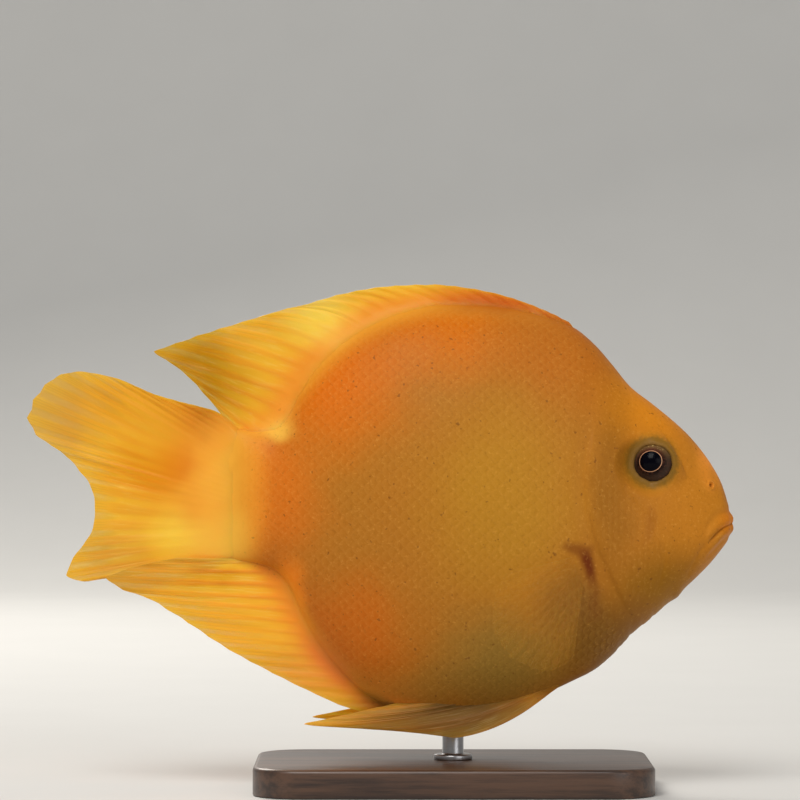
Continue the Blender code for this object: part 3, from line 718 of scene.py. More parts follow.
EYE_RING = (55.5, 0.0, 11.4)
FLESH = (184, 116, 34)
# Ovals of flesh colour: mostly the fish's own colours, with painted shade and painted light where noted below
FLESH_PATCHES = (
    (-36, 38, 36, 36, 225, 112, 10),
    (-2, 54, 44, 26, 216, 112, 4),
    (-52, 2, 24, 34, 220, 116, 26),
    (-30, -38, 28, 28, 208, 108, 22),
    (30, 46, 30, 26, 190, 108, 28),
    # Painted light: the forehead paler where the light from above falls on it
    (58, 30, 24, 22, 222, 136, 26),
    (68, -2, 24, 30, 203, 128, 33),
    # Partly the fish's own colour and partly painted shade: the chin darker, as it faces away from the light
    # above
    (60, -26, 20, 20, 160, 106, 20),
    (14, 0, 34, 40, 190, 134, 35, 0.8),
    # Painted shade: a dark band along the gill cover's rear edge
    (44, 6, 8, 36, 148, 94, 16, 0.55),
    # Partly the fish's own colours and partly painted shade: the breast and lower belly darker, as they face
    # away from the light above
    (42, -40, 22, 20, 138, 91, 27),
    (33, -28, 14, 13, 130, 88, 36, 0.7),
    (14, -44, 26, 22, 156, 120, 48, 0.9),
    (2, -52, 22, 10, 150, 112, 44, 0.5),
    (-30, -56, 30, 14, 230, 148, 56, 0.9),
    (20, 58, 30, 8, 176, 122, 46, 0.85),
    # Partly the pale colour of the pelvic fins and partly painted shade, darkened to match the shaded belly
    (0, -66, 34, 7, 186, 128, 54, 0.8),
    (-60, 2, 11, 30, 249, 154, 44),
    # Painted light: the top of the tail stalk and the body's rear edge above it, pale where lit from above
    (-49.5, 29, 7.5, 15, 254, 184, 72, 0.8),
    (-59, 19.6, 13, 4.5, 254, 184, 72, 0.7),
    (-51.5, 20, 10, 7.5, 253, 196, 78),
    (-47, -25, 9, 12, 253, 139, 30),
    # Painted light: the top of the snout paler where the light falls on it
    (74, 12, 9, 10, 250, 154, 52),
    (79, -6, 6, 7, 220, 128, 24),
    # Painted shadow: a dark reddish crescent where the pectoral fin meets the body
    (35.2, -13.4, 6, 3.8, 118, 54, 16, 0.6),
    (38.4, -17.4, 3.8, 7.4, 104, 34, 8, 0.9),
    (40, -27, 3, 9, 120, 62, 20, 0.4),
    (53.2, -5.4, 2.2, 8, 140, 72, 24, 0.25),
)
RIM = (238, 160, 48)
RIM_PATCHES = (
    (-73, 35, 26, 22, 160, 112, 0),
    (-90, 47, 16, 12, 170, 118, 34),
    (-38, 53, 16, 12, 255, 198, 84),
    (18, 58, 34, 14, 196, 106, 26),
    (-92, 26, 26, 18, 224, 143, 38),
    (-86, 9, 18, 12, 220, 132, 22),
    (-112, 26, 14, 20, 206, 140, 54),
    (-70, -10, 24, 12, 255, 196, 72),
    (-67, 6, 12, 22, 255, 184, 64),
    (-96, -14, 14, 12, 214, 152, 58),
    (-56, -34, 22, 18, 255, 160, 50),
    (-68, -22, 14, 5, 214, 138, 30),
    (-38, -48, 22, 15, 238, 142, 58),
    # Partly the fin's own olive and partly painted shade: the pelvic fins' upper part as dark as the shaded
    # belly beside them
    (0, -60, 40, 11, 136, 96, 42),
    (4, -69, 30, 6, 226, 156, 84),
)


def markings_group() -> Tree:
    """The fish's colours, painted shade and painted light among them, as a node group on the place in
    millimetres.

    Returns:
        A group that takes Place and puts out Color for the flesh, Rim for the fins, Grain for
        the relief of the skin, and Dark round the eyes.
    """
    tree = bpy.data.node_groups.new("fish markings", "ShaderNodeTree")
    tree.interface.new_socket(name="Place", in_out="INPUT", socket_type="NodeSocketVector")
    for name, kind in (("Color", "Color"), ("Rim", "Color"), ("Grain", "Float"), ("Dark", "Float")):
        tree.interface.new_socket(name=name, in_out="OUTPUT", socket_type="NodeSocket" + kind)
    w = Wiring(tree)
    here = tree.nodes.new("NodeGroupInput").outputs["Place"]
    corner = w.vector("SUBTRACT", here, (6.0, 0.0, 6.0))
    spot = w.vector("MULTIPLY_ADD", w.noise(here, 0.06, output=1), (12.0, 0.0, 12.0), corner)
    colour, rim = linear(*FLESH), linear(*RIM)
    for row in FLESH_PATCHES:
        colour = Patch(*row).lay(w, spot, colour)
    for row in RIM_PATCHES:
        rim = Patch(*row).lay(w, spot, rim)
    fine = w.math("SUBTRACT", w.noise(here, 1.1, 5.0, 0.65), 0.5)
    ragged = w.times(w.math("SUBTRACT", w.noise(here, 0.9, 4.0), 0.5), 1.8)
    ring = w.plus(w.reach(here, EYE_RING, (1.0, ENDLESS, 1.0)), ragged)
    dark = w.ramp(ring, 8.2, 6.4)
    for mask, amount, shade in (
        (w.ramp(fine, 0.03, 0.25), 0.3, (130, 74, 22)),
        (w.ramp(fine, -0.03, -0.25), 0.25, (244, 182, 84)),
        (w.ramp(w.noise(here, 0.75, 1.0), 0.70, 0.78), 0.55, (110, 60, 22)),
        (w.ramp(ring, 9.5, 7.0), 0.3, (158, 118, 24)),
        (dark, 0.8, (122, 92, 34)),
        (w.ramp(ring, 6.4, 5.2), 0.4, (140, 108, 66)),
    ):
        colour = w.tint(colour, mask, amount, shade)
    x, y, z = w.add("SeparateXYZ", {0: here}).outputs
    back = w.times(w.ramp(z, 20.0, 34.0), w.ramp(x, 34.0, 14.0))
    belly = w.times(w.ramp(z, -16.0, -26.0), w.ramp(x, 2.0, -14.0))
    roots = w.times(w.ramp(w.math("ABSOLUTE", y), 8.5, 2.0), w.math("MAXIMUM", back, belly))
    share = w.math("MAXIMUM", w.ramp(x, -52.0, -63.0), roots)
    grain = w.plus(w.times(w.noise(here, 3.2, 4.0, 0.6), 0.7), w.noise(here, 0.5, 2.0))
    outputs = {"Color": w.blend(share, colour, rim), "Rim": rim, "Grain": grain, "Dark": dark}
    w.fill(tree.nodes.new("NodeGroupOutput"), outputs)
    return tree


@dataclass(frozen=True)
class SkinFinish:
    """Satin skin in the fish's colours with their painted shade and light, and painted shade in the mouth's
    parting and in the nostril pits.
    """

    markings_and_shading: Tree
    roughness: float = 0.46
    scaled: bool = False

    def material(self, name: str) -> Material:
        """Makes the material."""
        made, w, shader = principled(name, Coat_Weight=0.02, Coat_Roughness=0.3, Specular_IOR_Level=0.08)
        spot = w.fish_place()
        marks = w.add("Group", {"Place": spot}, node_tree=self.markings_and_shading).outputs
        colour = marks["Color"]
        if self.scaled:
            colour = w.tint(colour, w.attribute("rim"), 0.07, (250, 190, 90))
            # Painted shade: each scale a little darker at its root, under the free edge of the scale in front
            colour = w.tint(colour, w.attribute("root"), 0.05, (120, 66, 22))
        else:
            # Painted shade: dark in the mouth's parting and in the deep nostril pits
            colour = w.tint(colour, w.attribute("inside"), 1.0, (58, 22, 14))
        rough = w.plus(w.times(w.noise(spot, 0.8, 3.0), 0.16), self.roughness - 0.08)
        rough = w.math("SUBTRACT", rough, w.times(marks["Dark"], 0.08))
        w.surface(shader, colour, rough, w.bump(marks["Grain"], 0.5, 0.09))
        return made


@dataclass(frozen=True)
class FinFinish:
    """A translucent rayed membrane, in the fish's colours with their painted shade and light.

    root_alpha and edge_alpha are how solid the membrane is at its root and at its edge, and
    ray_alpha is added on the rays. ray_tint is how much darker the rays are, and light_streaks
    how much paler the streaks between them.
    """

    markings_and_shading: Tree
    root_alpha: float = 1.0
    edge_alpha: float = 0.75
    ray_alpha: float = 0.22
    ray_tint: float = 0.12
    light_streaks: float = 0.26
    glow: float = 0.5

    def material(self, name: str) -> Material:
        """Makes the material."""
        made, w, shader = principled(
            name, Subsurface_Weight=self.glow, Subsurface_Radius=(1.0, 0.55, 0.2), Subsurface_Scale=0.004,
            Specular_IOR_Level=0.12, Coat_Weight=0.04, Coat_Roughness=0.3,
        )
        spot = w.fish_place()
        marks = w.add("Group", {"Place": spot}, node_tree=self.markings_and_shading).outputs
        ray, out, root, clear = (w.attribute(name) for name in ("ray", "out", "root", "clear"))
        rays = w.scaled(w.add("UVMap", uv_map="Rays").outputs[0], (90.0, 5.0, 1.0))
        streak = w.noise(rays, 1.0, 3.0, 0.6)
        light = w.times(w.times(w.ramp(streak, 0.5, 0.32), self.light_streaks * 0.5), clear)
        pale = w.blend(1.0, marks["Rim"], linear(255, 214, 160), "SCREEN")
        colour = w.blend(light, marks["Rim"], pale)
        dark = w.times(w.math("MAXIMUM", w.ramp(streak, 0.5, 0.7), ray), w.times(clear, self.ray_tint))
        deep = w.blend(1.0, colour, linear(226, 176, 110), "MULTIPLY")
        colour = w.blend(root, w.blend(dark, colour, deep), marks["Color"])
        fade = w.times(w.ramp(out, 0.25, 1.0), self.root_alpha - self.edge_alpha)
        alpha = w.plus(w.math("SUBTRACT", self.root_alpha, fade), w.times(ray, self.ray_alpha))
        w.fill(shader, {"Alpha": w.math("ADD", alpha, root, clamp=True)})
        joints = w.noise(spot, 1.6, 3.0)
        height = w.plus(w.times(streak, w.times(clear, 0.8)), w.times(joints, 0.4))
        w.surface(shader, colour, w.plus(w.times(joints, 0.2), 0.36), w.bump(height, 0.5, 0.12))
        return made


# Flesh


@dataclass
class Flesh:
    """One skin over the head, jaw, gill covers, body and tail stalk."""

    trunk: Trunk
    finish: SkinFinish
    sides: int = 280
    rings: int = 312
    head_spacing: float = 0.27
    body_spacing: float = 0.72
    head_ends: float = 35.0

    def ring_places(self) -> Array:
        """Where the rings lie along the section table, closer together on the head."""
        places = np.linspace(0, len(self.trunk.sections) - 1, 6000)
        rows = smooth(self.trunk.sections, places)
        run = np.linalg.norm(np.diff(rows[:, :4], axis=0), axis=1)
        behind = step(self.head_ends, self.head_ends - 8.0, rows[1:, 0])
        spacing = self.head_spacing + (self.body_spacing - self.head_spacing) * behind
        count = np.concatenate([[0], np.cumsum(run / spacing)])
        return np.interp(np.linspace(0, count[-1], self.rings + 1), count, places)

    def build(self) -> None:
        """Makes the skin from a sphere whose rings are laid along the sections."""
        deselect()
        bpy.ops.mesh.primitive_uv_sphere_add(segments=self.sides, ring_count=self.rings, radius=1.0)
        skin = named("skin")
        ball = points_of(skin)
        ring = np.arccos(np.clip(ball[:, 2], -1, 1)) / math.pi * self.rings
        turn = np.arctan2(-ball[:, 1], ball[:, 0])
        places = np.interp(ring, np.arange(self.rings + 1), self.ring_places())
        rows = smooth(self.trunk.sections, places)
        points = Trunk.ring_point(rows, turn)
        set_points(skin, points)
        height = self.trunk.relief(points)
        points = points + normals_of(skin) * height[:, None]
        set_points(skin, place(self.trunk.tail_swing.bend(self.trunk.set_sockets(points))))
        x, _, z = points.T
        # Where the painted shade goes: the mouth's parting and the deepest pits near the head's front
        mouth = 0.34 * hump(self.trunk.above_gape(x, z), 0.0, 0.24) * step(71.2, 72.8, x)
        hollow = step(-0.7, -1.2, height) * step(54.0, 66.0, x)
        paint(skin, "inside", np.clip(mouth + hollow, 0, 1))
        dress(skin, self.finish.material("fish skin"), 60.0)
        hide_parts("head", "lower_jaw", "gill_cover_left", "gill_cover_right", "body", "tail_stalk")


@dataclass
class ScaleCoat:
    """The scales of both flanks: thin overlapping plates in staggered rows, in relief on the skin.

    A scale's own sizes are shares of the pitch and of the row height: straight is how far back its
    widest line lies, rounded the length of its round end, long its whole length and half its half
    width. dome is how much its sides drop, and jitter and skew how far chance moves and turns it.
    """

    trunk: Trunk
    finish: SkinFinish
    pitch: float = 3.4
    row_height: float = 3.4
    lift: float = 0.1
    sunk: float = 0.07
    thickness: float = 0.12
    straight: float = 0.62
    rounded: float = 0.52
    long: float = 1.14
    half: float = 0.54
    front: float = 62.0
    rear: float = -62.0
    row_margin: float = 2.2
    margin: float = 2.0
    gill_gap: float = 0.6
    cover_edge: float = 5.2
    cover_span: Pair = (-26.0, 10.0)
    cheek_edge: float = 13.0
    cheek_span: Pair = (-16.0, 2.0)
    cheek_front: float = 62.0
    eye_clearance: float = 11.5
    axil: Pair = (36.5, -17.5)
    axil_radii: Pair = (4.2, 6.0)
    nape: Pair = (40.0, 30.0)
    seed: int = 5
    jitter: float = 0.06
    skew: float = 0.04
    dome: float = 0.25
    patch: float = 0.003
    flat_length: float = 165.0
    girth_steps: int = 160
    length_steps: int = 420

    def __post_init__(self) -> None:
        """Lays the flank flat: the lengths of the ways up and down at each x, and the turns along them."""
        self.places = np.linspace(self.rear - 6.0, 78.0, self.length_steps)
        rows = self.trunk.rows(self.places)
        shares = np.linspace(0, 1, self.girth_steps)
        turns, lengths = [], []
        for end in (0.0, math.pi):
            t = np.linspace(math.pi / 2, end, 400)
            ring = Trunk.ring_point(rows[:, None, :], t[None, :])
            run = np.linalg.norm(np.diff(ring, axis=1), axis=2)
            run = np.concatenate([np.zeros((len(rows), 1)), np.cumsum(run, axis=1)], axis=1)
            lengths.append(run[:, -1])
            turns.append([np.interp(shares * r[-1], r, t) for r in run])
        self.turns, self.lengths = np.array(turns), np.array(lengths)

    def point(self, x: Array, s: Array, side: Side) -> Array:
        """Places on the sections.

        Args:
            x: Places along the fish.
            s: Lengths up from the widest line, round the flank.
            side: Which flank.

        Returns:
            The points, one to a row.
        """
        spacing = self.places[1] - self.places[0]
        column = np.clip((x - self.places[0]) / spacing, 0, len(self.places) - 1.001)
        low, part = column.astype(int), column % 1
        way = (s < 0).astype(int)
        reach = self.lengths[way, low] * (1 - part) + self.lengths[way, low + 1] * part
        share = np.clip(np.abs(s) / reach, 0, 0.999) * (self.girth_steps - 1)
        up, rest = share.astype(int), share % 1
        ends = (low, low + 1)
        near, far = (self.turns[way, k, up] * (1 - rest) + self.turns[way, k, up + 1] * rest for k in ends)
        return Trunk.ring_point(self.trunk.rows(x), (near * (1 - part) + far * part) * side.value)

    def facing(self, x: Array, s: Array, side: Side) -> Array:
        """The ways in which the sections' surface faces at the places that point gives."""
        slope_x = self.point(x + 0.4, s, side) - self.point(x - 0.4, s, side)
        slope_s = self.point(x, s + 0.4, side) - self.point(x, s - 0.4, side)
        normal = unit(np.cross(slope_x, slope_s))
        return normal * np.sign(normal[:, 1] * side.value)[:, None]

    def lattice(self) -> Array:
        """Where the scales' roots lie, as rows of x, s and size."""
        found = []
        for column in range(int((self.front - self.rear) / (self.pitch / 2))):
            x = self.front - column * self.pitch / 2
            up, down = (np.interp(x, self.places, reach) for reach in self.lengths)
            first = math.ceil((self.row_margin - down) / self.row_height)
            last = math.floor((up - self.row_margin) / self.row_height)
            for row in range(first, last + 1):
                s = (row + 0.5 * (column % 2)) * self.row_height
                if self.margin - down < s < up - self.margin:
                    found.append((x, s))
        found = np.array(found)
        x, _, z = self.point(*found.T, Side.RIGHT).T
        behind = self.trunk.behind_gill(x, z)
        eye_x, eye_z = self.trunk.eye_spot
        off_eye = np.hypot(x - eye_x, z - eye_z) > self.eye_clearance
        trunk = behind > self.gill_gap
        low, high = self.cover_span
        cover = (behind < -self.cover_edge) & (behind > -self.cheek_edge) & (z < high) & (z > low)
        low, high = self.cheek_span
        cheek = (behind < -self.cheek_edge) & off_eye & (z < high) & (z > low) & (x < self.cheek_front)
        (axil_x, axil_z), (wide, tall) = self.axil, self.axil_radii
        axil = np.hypot((x - axil_x) / wide, (z - axil_z) / tall) < 1.0
        nape = (x > self.nape[0]) & (z > self.nape[1])
        kept = (trunk & ~axil & ~nape) | cover | cheek
        up = np.interp(found[:, 0], self.places, self.lengths[0]) - found[:, 1]
        down = np.interp(found[:, 0], self.places, self.lengths[1]) + found[:, 1]
        size = np.where(trunk, step(0.0, 5.0, behind), 0.45) * step(1.0, 8.0, up) * step(1.0, 8.0, down)
        size = (0.3 + 0.7 * size) * step(self.rear - 3.0, self.rear + 12.0, x)
        return np.column_stack([found, size])[kept]

    def plate(self) -> tuple[Array, Array]:
        """One scale, in units of the pitch and of the row height.

        Returns:
            Points as rows of length back from the root, height up the flank, and 1 on the
            underside, and the faces as triangles.
        """
        rows = (
            (0.0, (-0.26, 0.0, 0.26)),
            (0.3, (-0.5, -0.25, 0.0, 0.25, 0.5)),
            (self.straight, (-self.half, -0.28, 0.0, 0.28, self.half)),
        )
        points = [(back, up, 0.0) for back, ups in rows for up in ups]
        for turn in np.radians((-60, -30, 0, 30, 60)):
            points.append((self.straight + self.rounded * math.cos(turn), self.half * math.sin(turn), 0.0))
        top = [(0, 1, 5, 4), (0, 4, 3), (1, 2, 6, 5), (2, 7, 6)]
        for first in (3, 8):
            top += [(first + k, first + k + 1, first + k + 6, first + k + 5) for k in range(4)]
        border = [0, 1, 2, 7, 12, 17, 16, 15, 14, 13, 8, 3]
        under = len(points)
        points += [(*points[k][:2], 1.0) for k in border]
        ring = [under + k for k in range(12)]
        walls = [(border[k], ring[k], ring[(k + 1) % 12], border[(k + 1) % 12]) for k in range(12)]
        bottom = [(11, 0, 1), (11, 1, 2, 3), (10, 11, 3, 4), (9, 10, 4, 5), (9, 5, 6), (9, 6, 7, 8)]
        bottom = [[ring[k] for k in face[::-1]] for face in bottom]
        triangles = []
        for face in top + walls + bottom:
            triangles += [(face[0], face[k], face[k + 1]) for k in range(1, len(face) - 1)]
        return np.array(points), np.array(triangles)

    def build(self, side: Side) -> None:
        """Makes one flank's scales as a single piece."""
        roots = self.lattice()
        shape, faces = self.plate()
        jitter = np.random.default_rng(self.seed + side.value).normal(0, 1, (len(roots), 4))
        x, s, size = roots.T
        x, s = x + self.jitter * jitter[:, 0], s + self.jitter * jitter[:, 1]
        back, up, under = shape.T
        px = x[:, None] - back * self.pitch
        ps = s[:, None] + up * self.row_height + self.skew * jitter[:, 2:3] * back * self.row_height
        spots = px.ravel(), ps.ravel(), side
        at = self.point(*spots)
        dome = 1 - self.dome * (np.abs(up) / self.half) ** 2
        height = (self.lift + self.sunk) * np.clip(back, 0, self.long) / self.long * dome
        height = -self.sunk + height - under * self.thickness
        rise = (-self.sunk + (height + self.sunk) * size[:, None]).ravel()
        at = at + self.facing(*spots) * (self.trunk.relief(at, openings=False) + rise)[:, None]
        at = self.trunk.tail_swing.bend(self.trunk.set_sockets(at))
        index = (faces + (np.arange(len(roots)) * len(shape))[:, None, None]).reshape(-1, 3)
        if side is Side.RIGHT:
            index = index[:, ::-1]
        mesh = bpy.data.meshes.new(f"scales_{side.word}")
        mesh.from_pydata(place(at).tolist(), [], index.tolist())
        mesh.update()
        coat = in_scene(mesh.name, mesh)
        edge = step(0.55, 0.98, np.hypot(back - self.straight, up * 0.96) / self.rounded)
        edge = edge * (back > 0.5) * (1 - under)
        paint(coat, "rim", (edge * size[:, None]).ravel())
        # Painted shade at each scale's root, where the scale in front covers it
        paint(coat, "root", np.tile(step(0.45, 0.0, back), len(roots)))
        lay_uv(coat, "OFBake", self.patches(roots, shape))
        dress(coat, self.finish.material(f"{side.word} scales"), 50.0)

    def patches(self, roots: Array, shape: Array) -> Array:
        """Lays each scale in a small patch at its root's place on the flat flank.

        Args:
            roots: The scales' x, s and size.
            shape: One scale's points.

        Returns:
            The u and v of every scale's points, scale by scale.
        """
        u = (roots[:, 0] + 80.0) / self.flat_length
        v = roots[:, 1] / self.flat_length + 0.5
        local_u = (shape[:, 0] / self.long - 0.5) * self.patch
        local_v = shape[:, 1] / (2 * self.half) * self.patch
        return np.stack([u[:, None] - local_u, v[:, None] + local_v], axis=2).reshape(-1, 2)


# Fins


@dataclass
class Fin:
    """A fin: many fine rays as ridges on both faces of a thin membrane.

    Each ray goes from a root sunk in the flesh to a tip, bowed by its sag. Soft rays fork twice on
    their way. The last three pairs are the lengths over which a fin leaves the flesh's colour, the
    rays over which it takes it, and the rays over which its rays grow clear. lens is how far its
    fleshy root thins towards the outer rays, as the end of the tail stalk does.
    """

    name: str
    roots: Array
    tips: Array
    sags: Array
    swing: Swing
    notches: Array
    soft_from: int = 0
    columns: int = 14
    rows: int = 64
    fleshy: float = 3.2
    fillet: float = 7.4
    fillet_reach: float = 2.1
    ray_starts: float = 2.6
    ray_full: float = 9.0
    membrane: float = 0.13
    ridge: float = 0.24
    spine_ridge: float = 0.16
    ripple: float = 0.25
    ray_width: float = 0.3
    ray_narrows: float = 0.22
    fork: float = 0.15
    twig: float = 0.075
    tip_thins: float = 0.35
    ridge_thins: float = 0.72
    border: float = 0.9
    root_fade: Pair = (5.5, 2.8)
    blended: Pair = (-1.0, -2.0)
    drawn: Pair = (-2.0, -1.0)
    lens: float = 0.0

    def grid(self) -> Piece:
        """A flat closed slab of fine cells, two units wide and long, to be bent into the fin."""
        across = (len(self.roots) - 1) * self.columns
        deselect()
        bpy.ops.mesh.primitive_grid_add(x_subdivisions=across, y_subdivisions=self.rows, size=2.0)
        slab = named(self.name)
        solid = slab.modifiers.new("thickness", "SOLIDIFY")
        solid.thickness = 0.2
        solid.offset = 0.0
        apply_modifiers(slab)
        return slab

    def ridges(self, across: Array, out: Array) -> Array:
        """How much of a ray's ridge stands at places on the fin.

        Args:
            across: The place across the rays, in rays.
            out: The share of the way from root to tip.

        Returns:
            A share from 0 on the membrane to 1 on a ray's crest.
        """
        nearest = np.round(across)
        off = across - nearest
        width = self.ray_width - self.ray_narrows * np.clip(out, 0, 1) ** 0.7
        single = hump(off, 0.0, width)
        fork = self.fork * step(0.34, 0.66, out)
        twig = self.twig * step(0.62, 0.92, out)
        forked = np.zeros_like(off)
        for way in (-1, 1):
            for small in (-1, 1):
                forked = np.maximum(forked, hump(off, way * fork + small * twig, 0.85 * width))
        soft = nearest >= self.soft_from
        outermost = (nearest == 0) | (nearest == len(self.roots) - 1)
        return np.where(soft & ~outermost, forked, single)

    def build(self, finish: Material) -> None:
        """Makes the fin and dresses it in its finish."""
        slab = self.grid()
        flat = points_of(slab)
        last = len(self.roots) - 1
        across = (flat[:, 0] + 1) / 2 * last
        out = (flat[:, 1] + 1) / 2
        face = np.sign(flat[:, 2])
        middle = self.sheet(across, out)
        reach = 1e-3
        slope_across = self.sheet(across + reach, out) - self.sheet(across - reach, out)
        slope_out = self.sheet(across, out + reach) - self.sheet(across, out - reach)
        normal = unit(np.cross(slope_across, slope_out))
        ray = self.ridges(across, out)
        run = out * np.linalg.norm(smooth(self.tips, across) - smooth(self.roots, across), axis=1)
        thinned = np.sqrt(1 - self.lens * (2 * across / last - 1) ** 2)
        flesh = self.fillet * thinned * np.exp(-run / self.fillet_reach)
        half = self.membrane + np.minimum(self.fleshy, flesh)
        half = half * (1 - self.tip_thins * step(0.8, 1.0, out))
        ridge = np.where(np.round(across) < self.soft_from, self.spine_ridge, self.ridge)
        clear = (0.35 + 0.65 * step(*self.drawn, across)) * step(self.ray_starts, self.ray_full, run)
        half = half + ridge * ray * (1 - self.ridge_thins * out) * clear
        border = step(0.0, self.border, np.minimum(across, last - across))
        half = half * (0.55 + 0.45 * border)
        set_points(slab, place(middle + normal * (face * half)[:, None]))
        pick(slab, "FACE", lambda face: True)
        bpy.ops.mesh.normals_make_consistent(inside=False)
        bpy.ops.object.mode_set(mode="OBJECT")
        lay_uv(slab, "Rays", np.stack([across / last, out], axis=1))
        root = np.maximum(step(*self.root_fade, run), step(*self.blended, across))
        for name, values in (("ray", ray), ("out", out), ("clear", clear), ("root", root)):
            paint(slab, name, values)
        dress(slab, finish, 70.0)
        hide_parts(self.name)

    def sheet(self, across: Array, out: Array) -> Array:
        """The middle of the membrane at places across and out along the rays."""
        across = np.clip(across, 0, len(self.roots) - 1)
        between = 1 - np.abs(2 * (across % 1) - 1)
        gap = np.clip(across.astype(int), 0, len(self.notches) - 1)
        out = out * (1 - self.notches[gap] * between**0.8)
        root, tip, sag = (smooth(part, across) for part in (self.roots, self.tips, self.sags))
        t = out[:, None]
        points = root * (1 - t) + tip * t + sag * 4 * t * (1 - t)
        bent = self.swing.bend(points)
        wave = np.sin(across * 2.1 + 3.0 * out) + 0.5 * np.sin(across * 5.3 - 4.0 * out)
        bent[:, 1] += self.ripple * wave * step(0.15, 0.7, out)
        return bent


@dataclass
class FinSet:
    """All the fins: their outlines, ray counts and finishes."""

    trunk: Trunk
    markings_and_shading: Tree
    sunk: float = 2.6
    spine_count: int = 15
    soft_count: int = 11
    spine_notch: float = 0.035
    soft_notch: float = 0.015
    spine_base: Pair = (37.0, -24.0)
    soft_dorsal_base: Pair = (-25.4, -56.5)
    spine_edge: Outline = (
        (32.8, 50.9), (27.4, 53.5), (18.0, 57.3), (6.0, 60.3),
        (-6.0, 61.6), (-17.0, 61.2), (-28.3, 59.6), (-44.0, 55.3),
    )
    soft_dorsal_edge: Outline = (
        (-47, 54.7), (-56.7, 51.9), (-66, 49.1), (-76, 45.9), (-85.6, 41.8),
        (-79.8, 39.3), (-74.2, 34.5), (-66.4, 25.8),
    )
    anal_count: int = 17
    anal_base: Pair = (-12.0, -55.0)
    anal_edge: Outline = (
        (-19, -60.8), (-28.4, -58.9), (-43, -52.6), (-54, -47.1), (-65, -41), (-76, -33.6),
        (-87, -26.9), (-98.4, -22.3), (-91, -18.4), (-78, -15.8),
    )
    tail_count: int = 25
    tail_root_x: float = -59.8
    tail_root_span: Pair = (19.4, -16.0)
    tail_edge: Outline = (
        (-69.2, 26.2), (-84, 30.2), (-97, 35.4), (-107.5, 37), (-116, 33.2), (-121.2, 24.2),
        (-118.4, 18.6), (-111.5, 14.2), (-106.4, 9), (-102.4, 3), (-101.5, -4), (-104, -10.8),
        (-108, -16.2), (-109.9, -20.6), (-106, -22.7), (-94, -21),
    )
    pectoral_count: int = 13
    pectoral_base: tuple[Pair, Pair] = ((38.8, -13.2), (36.0, -21.8))
    pectoral_length: float = 33.0
    pectoral_lengths: Outline = ((0.0, 0.74), (0.12, 0.9), (0.3, 1.0), (0.5, 0.99), (0.75, 0.88), (1.0, 0.62))
    pectoral_fan: Pair = (14.0, 82.0)
    pectoral_flare: float = 20.0
    pelvic_roots: tuple[Triple, Triple] = ((30.0, 3.6, -51.6), (25.0, 8.4, -47.4))
    pelvic_tips: tuple[Triple, ...] = (
        (0.5, 9.2, -66.2), (-17, 8.8, -64.2), (-42, 8.2, -62.4),
        (-34, 8, -60.6), (-24, 7.2, -58.4), (-15, 5.8, -56.4),
    )
    pelvic_sag: tuple[float, ...] = (2.8, 3.2, 3.2, 2.6, 2.0, 1.4)
    pelvic_bow: float = 2.0
    pelvic_left_lift: Triple = (2.0, 0.0, 0.8)

    def contour(self, base: Pair, count: int, upper: bool) -> Array:
        """Root places along the back or the belly, sunk below the outline.

        Args:
            base: Where the base starts and ends, as x.
            count: How many roots.
            upper: Whether they lie on the back.

        Returns:
            The places as rows of x and z.
        """
        fine = self.trunk.fine()
        part = fine[(fine[:, 0] <= base[0]) & (fine[:, 0] >= base[1])][::-1]
        line = along(part[:, [0, 1 if upper else 2]], count)
        way = np.gradient(line, axis=0)
        inward = np.stack([-way[:, 1], way[:, 0]], axis=1) * (1 if upper else -1)
        return line + unit(inward) * self.sunk

    @staticmethod
    def flat(x: Array, z: Array) -> Array:
        """Places or ways in the middle plane, one to a row."""
        x, z = np.broadcast_arrays(x, z)
        return np.stack([x, np.zeros(len(x)), z], axis=1)

    def dorsal(self) -> Fin:
        """The dorsal fin: spines laid low along the back, then soft rays that trail over the tail."""
        spines, softs = self.spine_count, self.soft_count
        roots = self.contour(self.spine_base, spines, True), self.contour(self.soft_dorsal_base, softs, True)
        tips = along(self.spine_edge, spines), along(self.soft_dorsal_edge, softs)
        sags = 0.6 + 2.0 * step(7.0, spines, np.arange(spines)), np.linspace(2.6, -1.4, softs)
        roots, tips, sags = (np.concatenate(parts) for parts in (roots, tips, sags))
        notches = np.array([self.spine_notch] * (spines - 1) + [self.soft_notch] * softs)
        return Fin(
            "dorsal_fin", self.flat(*roots.T), self.flat(*tips.T), self.flat(0.0, sags),
            Swing(2.6, -36.0, 48.0), notches, soft_from=spines, columns=12, fleshy=4.6, fillet=4.7,
            fillet_reach=2.45, ridge=0.15, root_fade=(10.0, 1.6), blended=(14.0, 3.0), drawn=(6.0, 15.0),
        )

    def anal(self) -> Fin:
        """The anal fin, trailing below the tail fin and swung a little to the right."""
        roots = self.contour(self.anal_base, self.anal_count, False)
        tips = along(self.anal_edge, self.anal_count)
        sags = np.full(self.anal_count, -0.4)
        return Fin(
            "anal_fin", self.flat(*roots.T), self.flat(*tips.T), self.flat(0.0, sags),
            Swing(-4.4, -44.0, 44.0), np.full(self.anal_count - 1, self.soft_notch), soft_from=4, columns=16,
            root_fade=(14.0, 2.0), blended=(6.0, 0.0), drawn=(8.0, 14.0),
        )

    def tail(self) -> Fin:
        """The tail fin, with the longer upper lobe, swung a little to the left."""
        top, bottom = self.tail_root_span
        spread = np.linspace(top, bottom, self.tail_count)
        tips = along(self.tail_edge, self.tail_count)
        sags = np.interp(spread, (bottom, -8.0, 8.0, top), (-0.6, 0.0, 0.0, 1.2))
        notches = 0.003 + 0.012 * hump(np.arange(self.tail_count - 1), 11.0, 3.0)
        return Fin(
            "tail_fin", self.flat(self.tail_root_x, spread), self.flat(*tips.T), self.flat(0.0, sags),
            self.trunk.tail_swing, notches, rows=72, fillet=5.2, fillet_reach=5.6, ray_starts=14.0,
            ray_full=40.0, root_fade=(44.0, 14.0), drawn=(11.0, 18.0), lens=1.0,
        )

